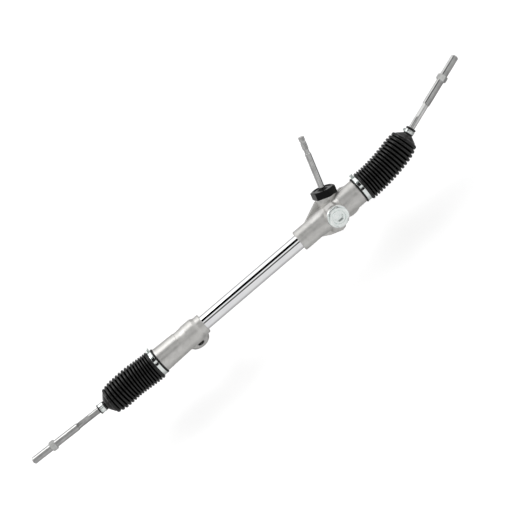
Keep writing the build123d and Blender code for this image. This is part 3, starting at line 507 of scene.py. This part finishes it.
# ---------------------------------------------------------------- bellows
@dataclass
class Bellows:
    """The rubber boot of one side, from the housing's spigot to the tie rod.

    Stations run outwards from the end of the housing's spigot, along the boot's own line.
    """

    side: str
    outward: float
    pivot_x: float
    tilt: float
    spigot_end: float
    cuff_length: float = 0.015
    rib_start: float = 0.0035
    cuff_radius: float = 0.0278
    lip_radius: float = 0.0292
    lip_length: float = 0.0034
    band_end: float = -0.0050
    ribs: int = 16
    pitch_growth: float = 1.38
    crest_radius: float = 0.0326
    last_crest_radius: float = 0.0285
    valley_radius: float = 0.0254
    wall: float = 0.0013
    bellows_past_pivot: float = 0.0595
    bow: float = 0.0
    neck_start: float = 0.070
    neck_end: float = 0.0865
    neck_radius: float = 0.00955
    slide_end: float = 0.020
    swing_end: float = 0.036

    @property
    def pivot(self) -> Vector:
        """Centre of the ball joint."""
        return Vector((self.pivot_x, 0.0, 0.0)) + RACK_LINE

    @property
    def rod_direction(self) -> Vector:
        """The way the tie rod points as it stands."""
        lean = math.radians(self.tilt)
        return Vector((self.outward * math.cos(lean), 0.0, 0.0)) + LEAN_SIDE * math.sin(lean)

    @property
    def tangent(self) -> float:
        """Distance from the spigot's end to the pivot, along the rack."""
        return abs(self.pivot_x - self.spigot_end)

    @property
    def bend_radius(self) -> float:
        """Radius of the boot's line between the spigot and the rod."""
        return self.tangent / math.tan(math.radians(self.tilt) / 2)

    @property
    def pivot_station(self) -> float:
        """Station of the boot's line that the pivot's distance is counted from."""
        return self.bend_radius * math.radians(self.tilt) - self.tangent

    @property
    def valleys(self) -> list[float]:
        """Stations of the valleys, whose pitch grows towards the tie rod."""
        shares = [1.0 + (self.pitch_growth - 1.0) * rib / (self.ribs - 1) for rib in range(self.ribs)]
        unit = (self.pivot_station + self.bellows_past_pivot - self.rib_start) / sum(shares)
        stations = [self.rib_start]
        for share in shares:
            stations.append(stations[-1] + unit * share)
        return stations

    def valley_near(self, past_pivot: float) -> float:
        """Gives the station of the valley nearest to a distance past the pivot."""
        return min(self.valleys, key=lambda station: abs(station - self.pivot_station - past_pivot))

    def profile(self) -> list[Point]:
        """Gives the outer profile, from the cuff's open end to the neck's."""
        points: list[Point] = [
            (-self.cuff_length, self.lip_radius - 0.0006),
            (-self.cuff_length + 0.0006, self.lip_radius),
            (-self.cuff_length + self.lip_length - 0.0006, self.lip_radius),
            (-self.cuff_length + self.lip_length, self.cuff_radius),
            (self.band_end, self.cuff_radius),
            (self.band_end + 0.0012, self.cuff_radius + 0.0009),
            (self.band_end + 0.0036, self.crest_radius - 0.0006),
            (self.band_end + 0.0050, self.crest_radius - 0.0002),
            (self.rib_start - 0.0022, self.crest_radius - 0.0002),
            (self.rib_start - 0.0010, self.crest_radius - 0.0014),
        ]
        shape = ((0.0, 0.0), (0.1, 0.42), (0.2, 0.78), (0.34, 0.96), (0.5, 1.0), (0.66, 0.96), (0.8, 0.78), (0.9, 0.42))
        valleys = self.valleys
        for rib, (start, end) in enumerate(zip(valleys, valleys[1:])):
            past = max(0.0, (rib + 4 - self.ribs) / 3)
            crest = self.crest_radius - (self.crest_radius - self.last_crest_radius) * past * past
            for share, height in shape:
                radius = self.valley_radius + height * (crest - self.valley_radius)
                points.append((start + share * (end - start), radius))
        last = valleys[-1]
        neck = self.pivot_station + self.neck_start
        points.append((last, self.valley_radius - 0.0020))
        points.append((last + 0.002, self.valley_radius - 0.0032))
        points.append((neck - 0.0015, self.neck_radius + 0.0030))
        points.append((neck, self.neck_radius + 0.0006))
        points.append((neck + 0.001, self.neck_radius))
        points.append((self.pivot_station + self.neck_end - 0.0034, self.neck_radius))
        points.append((self.pivot_station + self.neck_end - 0.0030, self.neck_radius + 0.0010))
        points.append((self.pivot_station + self.neck_end - 0.0005, self.neck_radius + 0.0010))
        points.append((self.pivot_station + self.neck_end, self.neck_radius + 0.0004))
        return points

    def centre_line(self) -> bpy.types.Object:
        """Draws the boot's line as one curve that starts at the spigot's end."""
        deselect_all()
        bpy.ops.curve.primitive_bezier_curve_add()
        line = bpy.context.object
        lean = math.radians(self.tilt)
        start = Vector((self.spigot_end, 0.0, 0.0)) + RACK_LINE
        along = Vector((self.outward, 0.0, 0.0))
        reach = self.bend_radius
        end = start + along * (reach * math.sin(lean)) + LEAN_SIDE * (reach * (1 - math.cos(lean)))
        middle = start + along * (reach * math.sin(lean / 2)) + LEAN_SIDE * (reach * (1 - math.cos(lean / 2)))
        middle += LEAN_SIDE * self.bow
        middle_way = along * math.cos(lean / 2) + LEAN_SIDE * math.sin(lean / 2)
        handle = 4 / 3 * math.tan(lean / 8) * reach
        spline = line.data.splines[0]
        spline.bezier_points.add(1)
        line.data.dimensions = "3D"
        line.data.resolution_u = 64
        knots = ((start, along), (middle, middle_way), (end, self.rod_direction))
        for knot, (place, way) in zip(spline.bezier_points, knots):
            knot.handle_left_type = "FREE"
            knot.handle_right_type = "FREE"
            knot.co = place
            knot.handle_left = place - way * handle
            knot.handle_right = place + way * handle
        return line

    def build(self, finisher: Finisher) -> list[bpy.types.Object]:
        """Models the boot, bends it to the rod and cuts it where the joints share it.

        Args:
            finisher: gives the rubber.

        Returns:
            The pieces, from the housing outwards.
        """
        cuts = [self.valley_near(self.slide_end), self.valley_near(self.swing_end)]
        profile = self.profile()
        sections = [
            [point for point in profile if point[0] <= cuts[0] + 1e-6],
            [point for point in profile if cuts[0] - 1e-6 <= point[0] <= cuts[1] + 1e-6],
            [point for point in profile if point[0] >= cuts[1] - 1e-6],
        ]
        line = self.centre_line()
        names = (f"{self.side}_bellows", f"{self.side}_bellows_bend", f"{self.side}_bellows_neck")
        made = []
        for name, section in zip(names, sections):
            piece = turned(name, section, 72)
            wall = piece.modifiers.new("wall", "SOLIDIFY")
            wall.thickness = self.wall
            wall.offset = -1.0
            bend = piece.modifiers.new("bend", "CURVE")
            bend.object = line
            bend.deform_axis = "POS_X"
            apply_modifiers(piece)
            smooth(piece, 60.0)
            finisher.paint(piece, Surface.BELLOWS_RUBBER.value)
            made.append(piece)
        bpy.data.objects.remove(line)
        stations = (self.rib_start, cuts[0], cuts[1], self.pivot_station + self.neck_start)
        for index, piece in enumerate(made):
            tuple(self.place(stations[index]))
            tuple(self.place(stations[index + 1]))
            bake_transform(piece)
            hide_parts(f"{self.side}_boot")
        return made

    def place(self, station: float) -> Vector:
        """Gives the point of the boot's line at a station."""
        lean = math.radians(self.tilt)
        bend = self.bend_radius * lean
        angle = min(max(station, 0.0), bend) / self.bend_radius
        along = Vector((self.outward, 0.0, 0.0))
        point = Vector((self.spigot_end, 0.0, 0.0)) + RACK_LINE
        point += along * (self.bend_radius * math.sin(angle))
        point += LEAN_SIDE * (self.bend_radius * (1 - math.cos(angle)))
        return point + (along * math.cos(angle) + LEAN_SIDE * math.sin(angle)) * max(station - bend, 0.0)


# ---------------------------------------------------------------- clamps
@dataclass
class BandClamp:
    """Steel band round a boot's cuff, with windows in its overlap and a curled tail.

    Angles are counted round the rack's line from the side that the tail is on.
    """

    side: str
    outward: float
    start_x: float
    radius: float = 0.0278
    thickness: float = 0.0009
    width: float = 0.0076
    rail: float = 0.0004
    windows: tuple[tuple[float, float], ...] = ((63.5, 76.5), (90.5, 99.5))
    tail_start: float = 61.0
    tail_end: float = 14.0
    tail_radius: float = 0.0035
    segments: int = 120

    def in_window(self, centre: Vector, _normal: Vector) -> bool:
        """Tells whether a face lies in one of the windows."""
        angle = math.degrees(math.atan2(-centre.y, centre.z))
        inside = any(low < angle < high for low, high in self.windows)
        return inside and abs(centre.x) < self.width / 2 - self.rail

    def hoop(self) -> bpy.types.Object:
        """Models the closed hoop with its windows, as a surface without thickness."""
        half = self.width / 2
        radius = self.radius + self.thickness
        profile = [(-half, radius), (-half + self.rail, radius), (half - self.rail, radius), (half, radius)]
        band = turned(f"{self.side}_band_clamp", profile, self.segments)
        select_faces(band, self.in_window)
        bpy.ops.mesh.delete(type="FACE")
        bpy.ops.object.mode_set(mode="OBJECT")
        return band

    def tail(self) -> bpy.types.Object:
        """Models the overlapping end of the band, which leaves the hoop and curls back."""
        inner = self.radius + self.thickness
        radius = inner + self.thickness
        points: list[Point] = []
        for step in range(11):
            angle = math.radians(self.tail_start + (self.tail_end - self.tail_start) * step / 10)
            points.append((radius * math.sin(angle), radius * math.cos(angle)))
        last = math.radians(self.tail_end)
        away = Vector((math.sin(last), math.cos(last)))
        on = Vector((-math.cos(last), math.sin(last)))
        middle = Vector(points[-1]) + away * self.tail_radius
        for step in range(1, 10):
            turn = math.radians(26.0 * step)
            spot = middle - away * (self.tail_radius * math.cos(turn)) + on * (self.tail_radius * math.sin(turn))
            points.append((spot.x, spot.y))
        strap = profile_line(f"{self.side}_band_tail", [(0.0, points[0][1])])
        bpy.ops.mesh.select_all(action="SELECT")
        bpy.ops.transform.translate(value=(-self.width / 2 + 0.0004, -points[0][0], 0.0))
        for (y0, z0), (y1, z1) in zip(points, points[1:]):
            bpy.ops.mesh.extrude_region_move(TRANSFORM_OT_translate={"value": (0.0, y0 - y1, z1 - z0)})
        bpy.ops.mesh.select_all(action="SELECT")
        bpy.ops.mesh.extrude_region_move(TRANSFORM_OT_translate={"value": (self.width - 0.0008, 0.0, 0.0)})
        bpy.ops.mesh.select_all(action="SELECT")
        bpy.ops.mesh.normals_make_consistent(inside=False)
        bpy.ops.object.mode_set(mode="OBJECT")
        return strap

    def build(self, finisher: Finisher) -> bpy.types.Object:
        """Models the band and puts it round the cuff.

        Args:
            finisher: gives the plating.

        Returns:
            The clamp.
        """
        band = self.hoop()
        for piece in (band, self.tail()):
            wall = piece.modifiers.new("wall", "SOLIDIFY")
            wall.thickness = self.thickness
            wall.offset = -1.0 if piece == band else 0.0
            rounding = piece.modifiers.new("rounding", "BEVEL")
            rounding.width = 0.00022
            rounding.segments = 2
            rounding.limit_method = "ANGLE"
            apply_modifiers(piece)
        tail = bpy.context.object
        select_only(band)
        tail.select_set(True)
        bpy.ops.object.join()
        centre = Vector((self.start_x + self.outward * self.width / 2, 0.0, 0.0)) + RACK_LINE
        settle(band, facing(centre, Vector((1.0, 0.0, 0.0)), LEAN_SIDE))
        smooth(band)
        finisher.paint(band, Surface.ZINC_PLATE.value)
        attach(band, "housing")
        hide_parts(f"{self.side}_boot_band")
        return band


@dataclass
class NeckClamp:
    """Small steel clamp on a boot's neck, pinched into an ear. Stations run out from the pivot."""

    side: str
    pivot: Vector
    way: Vector
    ear_way: Vector
    start: float
    width: float
    radius: float = 0.0096
    thickness: float = 0.0009
    ear_height: float = 0.0040
    ear_length: float = 0.0052

    def build(self, finisher: Finisher) -> bpy.types.Object:
        """Models the clamp and puts it on the neck.

        Args:
            finisher: gives the plating.

        Returns:
            The clamp.
        """
        inner, outer = self.radius, self.radius + self.thickness
        start, end = self.start, self.start + self.width
        bead = 0.0011
        profile = [
            (start, inner),
            (start, outer + 0.0003),
            (start + bead, outer + 0.0003),
            (start + 1.6 * bead, outer - 0.0002),
            (end - 1.6 * bead, outer - 0.0002),
            (end - bead, outer + 0.0003),
            (end, outer + 0.0003),
            (end, inner),
            (start, inner),
        ]
        ring = turned(f"{self.side}_neck_ring", profile, 64)
        deselect_all()
        bpy.ops.mesh.primitive_cube_add(
            size=1.0,
            location=((start + end) / 2, 0.0, outer + self.ear_height / 2 - 0.0006),
            scale=(self.width - 0.0016, self.ear_length, self.ear_height),
        )
        ear = bpy.context.object
        bpy.ops.object.transform_apply(location=False, rotation=False, scale=True)
        rounding = ear.modifiers.new("rounding", "BEVEL")
        rounding.width = 0.0009
        rounding.segments = 3
        apply_modifiers(ear)
        select_only(ring)
        ear.select_set(True)
        bpy.ops.object.join()
        settle(ring, facing(self.pivot, self.way, self.ear_way))
        smooth(ring)
        finisher.paint(ring, Surface.ZINC_PLATE.value)
        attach(ring, f"{self.side}_rod")
        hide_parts(f"{self.side}_neck_clamp")
        return ring


# ---------------------------------------------------------------- tie rods
def cut_with(piece: bpy.types.Object, tool: bpy.types.Object, operation: str) -> None:
    """Applies a Boolean of a piece with a tool, and removes the tool.

    Args:
        piece: the object that stays.
        tool: the object that cuts it.
        operation: DIFFERENCE, INTERSECT or UNION.
    """
    cut = piece.modifiers.new("cut", "BOOLEAN")
    cut.object = tool
    cut.operation = operation
    cut.solver = "EXACT"
    apply_modifiers(piece)
    bpy.data.objects.remove(tool)


def threaded(name: str, start: float, end: float, major: float, pitch: float) -> bpy.types.Object:
    """Models a right-hand V thread along X, flat at both ends.

    Args:
        name: the object's name.
        start: station where the thread begins.
        end: station where it ends, with a chamfer.
        major: radius over the crests.
        pitch: distance from crest to crest.

    Returns:
        A closed threaded bar.
    """
    root = major - 0.6134 * pitch
    flat = pitch / 8
    profile = [
        (start - 2 * pitch, root),
        (start - 1.5 * pitch - flat / 2, major),
        (start - 1.5 * pitch + flat / 2, major),
        (start - pitch, root),
    ]
    bar = profile_line(name, profile)
    bpy.ops.object.mode_set(mode="OBJECT")
    helix = bar.modifiers.new("helix", "SCREW")
    helix.axis = "X"
    helix.screw_offset = pitch
    helix.iterations = int((end - start) / pitch) + 4
    helix.steps = 24
    helix.render_steps = 24
    helix.use_merge_vertices = True
    helix.merge_threshold = 1e-6
    apply_modifiers(bar)
    for place, way in ((start, -1.0), (end, 1.0)):
        select_only(bar)
        bpy.ops.object.mode_set(mode="EDIT")
        bpy.ops.mesh.select_all(action="SELECT")
        bpy.ops.mesh.bisect(
            plane_co=(place, 0.0, 0.0), plane_no=(way, 0.0, 0.0), use_fill=True, clear_outer=True
        )
        bpy.ops.mesh.select_all(action="SELECT")
        bpy.ops.mesh.normals_make_consistent(inside=False)
        bpy.ops.object.mode_set(mode="OBJECT")
    chamfer = 1.4 * pitch
    sleeve = turned(
        f"{name}_chamfer",
        [
            (start - 0.001, 0.0),
            (start - 0.001, major * 1.2),
            (end - chamfer * 1.2, major * 1.2),
            (end - chamfer, major * 1.02),
            (end + 0.0002, major - chamfer - 0.0002),
            (end + 0.0002, 0.0),
        ],
        32,
    )
    cut_with(bar, sleeve, "INTERSECT")
    return bar


@dataclass
class TieRod:
    """Inner tie rod with its ball, wrench flats and threaded end. Stations run out from the ball."""

    side: str
    pivot: Vector
    way: Vector
    flat_lean: float
    finish: Surface
    ball_radius: float = 0.012
    neck_radius: float = 0.0056
    neck_end: float = 0.020
    shank_radius: float = 0.00625
    flat_start: float = 0.110
    flat_length: float = 0.031
    across_flats: float = 0.0106
    thread_start: float = 0.141
    tip: float = 0.254
    major_radius: float = 0.00635
    pitch: float = 0.00127

    def profile(self) -> list[Point]:
        """Gives the plain part's profile, from the ball's far side to inside the thread."""
        points: list[Point] = [(-self.ball_radius, 0.0)]
        last = math.pi - math.asin(self.neck_radius / self.ball_radius)
        for step in range(1, 13):
            angle = last * step / 12
            points.append((-self.ball_radius * math.cos(angle), self.ball_radius * math.sin(angle)))
        points += [
            (self.neck_end - 0.002, self.neck_radius),
            (self.neck_end + 0.0045, self.shank_radius),
            (self.thread_start - 0.0016, self.shank_radius),
            (self.thread_start + 0.0004, self.shank_radius - 0.0009),
            (self.thread_start + 0.002, self.shank_radius - 0.0009),
            (self.thread_start + 0.002, 0.0),
        ]
        return points

    def build(self, finisher: Finisher) -> bpy.types.Object:
        """Models the rod and puts it on its ball joint.

        Args:
            finisher: gives the steel.

        Returns:
            The tie rod.
        """
        rod = turned(f"{self.side}_tie_rod_threaded", self.profile(), 48)
        for way in (-1.0, 1.0):
            depth = self.shank_radius
            deselect_all()
            bpy.ops.mesh.primitive_cube_add(
                size=1.0,
                location=(
                    self.flat_start + self.flat_length / 2,
                    0.0,
                    way * (self.across_flats / 2 + depth / 2),
                ),
                scale=(self.flat_length, 4 * depth, depth),
            )
            cutter = bpy.context.object
            rounding = cutter.modifiers.new("cutter radius", "BEVEL")
            rounding.width = 0.0012
            rounding.segments = 4
            apply_modifiers(cutter)
            cut_with(rod, cutter, "DIFFERENCE")
        thread = threaded(
            f"{self.side}_thread", self.thread_start, self.tip, self.major_radius, self.pitch
        )
        select_only(rod)
        thread.select_set(True)
        bpy.ops.object.join()
        lean = math.radians(self.flat_lean)
        settle(rod, facing(self.pivot, self.way, FRONT_SIDE * math.cos(lean) + LEAN_SIDE * math.sin(lean)))
        smooth(rod, 30.0)
        finisher.paint(rod, self.finish.value)
        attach(rod, f"{self.side}_rod")
        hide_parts(f"{self.side}_tie_rod")
        return rod


# ---------------------------------------------------------------- carried-over nodes
class CarriedNodes:
    """The rigid CAD nodes that keep their own shape and get a real finish."""

    finishes = {
        Surface.CAST_ALUMINIUM: ("gear_housing", "mount_housing", "rack_yoke"),
        Surface.CHROME_PLATE: ("rack_tube",),
        Surface.RACK_STEEL: (
            "rack_bar",
            "pinion_bearing_outer",
            "pinion_bearing_balls",
            "left_ball_socket",
            "right_ball_socket",
            "yoke_spring",
            "left_mount_sleeve",
            "right_mount_sleeve",
        ),
        Surface.PINION_STEEL: ("pinion_shaft", "pinion_bearing_inner", "pinion_circlip"),
        Surface.ZINC_PLATE: ("yoke_plug", "yoke_locknut"),
        Surface.DULL_ZINC: ("left_jam_nut", "right_jam_nut"),
        Surface.BLACK_ENAMEL: ("pinion_plug",),
        Surface.SEAL_RUBBER: ("pinion_seal", "yoke_o_ring"),
        Surface.SINTERED_BRONZE: ("pinion_lower_bush",),
        Surface.ACETAL: ("rack_bush", "yoke_liner", "left_ball_seat", "right_ball_seat"),
    }

    def dress(self, finisher: Finisher) -> None:
        """Puts every node's finish on it."""
        for surface, names in self.finishes.items():
            finisher.paint_nodes(names, surface.value)
            log.info("%s on %s", surface.value.name, ", ".join(names))


# ---------------------------------------------------------------- studio
@dataclass
class Studio:
    """Pale floor, soft light from all round with a dark gap overhead, and the camera."""

    look_at: Vector = field(default_factory=lambda: Vector((-0.004, -0.01866, 0.04908)))
    toward_camera: Vector = field(default_factory=lambda: FRONT_SIDE.copy())
    roll: float = 40.5
    distance: float = 3.0
    lens: float = 103.8
    floor_z: float = -0.085
    floor_size: float = 8.0

    def build(self) -> None:
        """Makes the floor, the light and the camera."""
        self.build_floor()
        self.build_world()
        self.build_lights()
        self.build_camera()

    def build_floor(self) -> None:
        """Lays a plain pale floor just under the lowest reach of the tie rods."""
        deselect_all()
        bpy.ops.mesh.primitive_plane_add(size=self.floor_size, location=(0.0, 0.0, self.floor_z))
        floor = bpy.context.object
        floor.name = "studio_floor"
        material = Finish("Studio paper", "#ffffff", "#fdfdfd", 0.0, 0.95, 0.01, 400.0, 20.0, 0.001).build()
        paper = material.node_tree.nodes["Principled BSDF"]
        paper.inputs["Emission Color"].default_value = linear("#ffffff")
        paper.inputs["Emission Strength"].default_value = 0.36
        floor.data.materials.append(material)
        floor.visible_glossy = False

    def build_world(self) -> None:
        """Makes soft light that depends on the angle round the rack's line."""
        world = bpy.data.worlds.new("Softboxes")
        bpy.context.scene.world = world
        world.use_nodes = True
        tree = world.node_tree
        sky = tree.nodes["Background"]
        way = add_node(tree, "ShaderNodeTexCoord").outputs["Generated"]
        parts = add_node(tree, "ShaderNodeSeparateXYZ", None, {"Vector": way})
        front = add_node(tree, "ShaderNodeMath", {1: -1.0}, {0: parts.outputs["Y"]}, operation="MULTIPLY")
        angle = add_node(
            tree, "ShaderNodeMath", None, {0: parts.outputs["Z"], 1: front.outputs[0]}, operation="ARCTAN2"
        )
        share = add_node(
            tree, "ShaderNodeMapRange", {1: -math.pi, 2: math.pi, 3: 0.0, 4: 1.0}, {0: angle.outputs[0]}
        )
        out = add_node(tree, "ShaderNodeMath", None, {0: parts.outputs["X"]}, operation="ABSOLUTE")
        soft = self.round_ramp(tree, share.outputs[0], self.sky_stops())
        flags = self.round_ramp(tree, share.outputs[0], self.flag_stops())
        past_flags = self.brightness_ramp(tree, out.outputs[0], self.flag_end_stops())
        ends = self.brightness_ramp(tree, out.outputs[0], self.side_stops())
        open_sky = self.combined(tree, "LIGHTEN", flags, past_flags)
        light = self.combined(tree, "MULTIPLY", self.combined(tree, "MULTIPLY", soft, open_sky), ends)
        tree.links.new(light, sky.inputs["Color"])
        sky.inputs["Strength"].default_value = 1.0

    @staticmethod
    def combined(
        tree: bpy.types.NodeTree, way: str, one: bpy.types.NodeSocket, other: bpy.types.NodeSocket
    ) -> bpy.types.NodeSocket:
        """Gives two brightnesses combined by a blend type."""
        return add_node(
            tree, "ShaderNodeMix", {0: 1.0}, {6: one, 7: other}, data_type="RGBA", blend_type=way
        ).outputs[2]

    def round_ramp(
        self, tree: bpy.types.NodeTree, share: bpy.types.NodeSocket, stops: Sequence[Point]
    ) -> bpy.types.NodeSocket:
        """Adds a grey ramp whose stops are in degrees round the rack."""
        return self.brightness_ramp(tree, share, [((degrees + 180.0) / 360.0, value) for degrees, value in stops])

    @staticmethod
    def brightness_ramp(
        tree: bpy.types.NodeTree, share: bpy.types.NodeSocket, stops: Sequence[Point]
    ) -> bpy.types.NodeSocket:
        """Adds a grey ramp.

        Args:
            tree: the world's tree.
            share: what the ramp follows, from 0 to 1.
            stops: (place, brightness) of each stop, in order.

        Returns:
            The ramp's colour.
        """
        ramp = add_node(tree, "ShaderNodeValToRGB", None, {"Fac": share})
        elements = ramp.color_ramp.elements
        while len(elements) < len(stops):
            elements.new(0.5)
        for element, (place, value) in zip(elements, stops):
            element.position = place
            element.color = (value, value, value, 1.0)
        return ramp.outputs["Color"]

    @staticmethod
    def sky_stops() -> tuple[Point, ...]:
        """Gives (degrees from the front horizon over the top, brightness) of the light tent."""
        return (
            (-180.0, 0.42),
            (-160.0, 0.42),
            (-151.0, 0.95),
            (-132.0, 0.95),
            (-118.0, 0.36),
            (-65.0, 0.44),
            (-22.0, 0.78),
            (43.0, 0.8),
            (64.0, 0.84),
            (82.0, 0.84),
            (121.0, 1.18),
            (171.0, 1.22),
            (176.0, 0.46),
            (180.0, 0.42),
        )

    @staticmethod
    def flag_stops() -> tuple[Point, ...]:
        """Gives (degrees, light let through) of the two black flags over the rack."""
        return (
            (43.0, 1.0),
            (47.0, 0.05),
            (61.0, 0.05),
            (64.0, 1.0),
            (82.0, 1.0),
            (85.0, 0.0),
            (117.0, 0.0),
            (121.0, 1.0),
        )

    @staticmethod
    def flag_end_stops() -> tuple[Point, ...]:
        """Gives (share of the way out along the rack, light let through) where the flags end."""
        return ((0.0, 0.0), (0.1, 0.0), (0.2, 0.5), (0.5, 0.62), (1.0, 0.62))

    @staticmethod
    def side_stops() -> tuple[Point, ...]:
        """Gives (share of the way out along the rack, brightness) of the tent's ends."""
        return ((0.0, 1.0), (0.3, 1.0), (0.35, 0.4), (0.45, 0.4), (0.5, 1.1), (0.8, 1.1), (0.9, 0.8), (1.0, 0.8))

    def build_lights(self) -> None:
        """Hangs one large soft light above and behind the rack."""
        deselect_all()
        bpy.ops.object.light_add(type="AREA", location=(-0.9, 1.1, 1.6))
        lamp = bpy.context.object
        lamp.name = "key_softbox"
        lamp.data.shape = "RECTANGLE"
        lamp.data.size = 1.4
        lamp.data.size_y = 1.0
        lamp.data.energy = 9.0
        lamp.rotation_euler = (self.look_at - lamp.location).to_track_quat("-Z", "Y").to_euler()

    def build_camera(self) -> None:
        """Places the camera above and in front of the rack, rolled so that the rack rises."""
        deselect_all()
        bpy.ops.object.camera_add()
        camera = bpy.context.object
        camera.name = "camera"
        roll = math.radians(self.roll)
        along = Vector((1.0, 0.0, 0.0))
        right = along * math.cos(roll) - LEAN_SIDE * math.sin(roll)
        up = along * math.sin(roll) + LEAN_SIDE * math.cos(roll)
        turn = Matrix((right, up, self.toward_camera)).transposed().to_4x4()
        camera.matrix_world = Matrix.Translation(self.look_at + self.toward_camera * self.distance) @ turn
        camera.data.lens = self.lens
        camera.data.sensor_width = 36.0
        camera.data.clip_end = 50.0
        bpy.context.scene.camera = camera
        bpy.context.scene.view_settings.view_transform = "Standard"


def main() -> None:
    """Loads the frame and dresses the rack."""
    logging.basicConfig(level=logging.INFO, format="%(message)s")
    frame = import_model()
    finisher = Finisher(frame)
    CarriedNodes().dress(finisher)
    # the frame's origin is the middle of the mounting bolts, 25 mm towards the pinion side
    for boots in (
        Bellows("left", -1.0, -0.357, 2.5, -0.301, bow=0.0026, slide_end=0.024, swing_end=0.038),
        Bellows("right", 1.0, 0.317, 18.2, 0.251, neck_end=0.0845, slide_end=0.006, swing_end=0.028),
    ):
        for piece in boots.build(finisher):
            log.info("built %s", piece.name)
    for clamp in (
        BandClamp("left", -1.0, -0.2892),
        BandClamp("right", 1.0, 0.2392),
        NeckClamp("left", LEFT_PIVOT, LEFT_ROD_WAY, -FRONT_SIDE, 0.0734, 0.0098),
        NeckClamp("right", RIGHT_PIVOT, RIGHT_ROD_WAY, LEAN_SIDE, 0.0724, 0.0070),
    ):
        log.info("built %s", clamp.build(finisher).name)
    rods = (
        TieRod("left", LEFT_PIVOT, LEFT_ROD_WAY, 21.0, Surface.LEFT_ROD_STEEL),
        TieRod("right", RIGHT_PIVOT, RIGHT_ROD_WAY, 42.0, Surface.RIGHT_ROD_STEEL),
    )
    for rod in rods:
        log.info("built %s", rod.build(finisher).name)
    Studio().build()


if __name__ == "__main__":
    main()
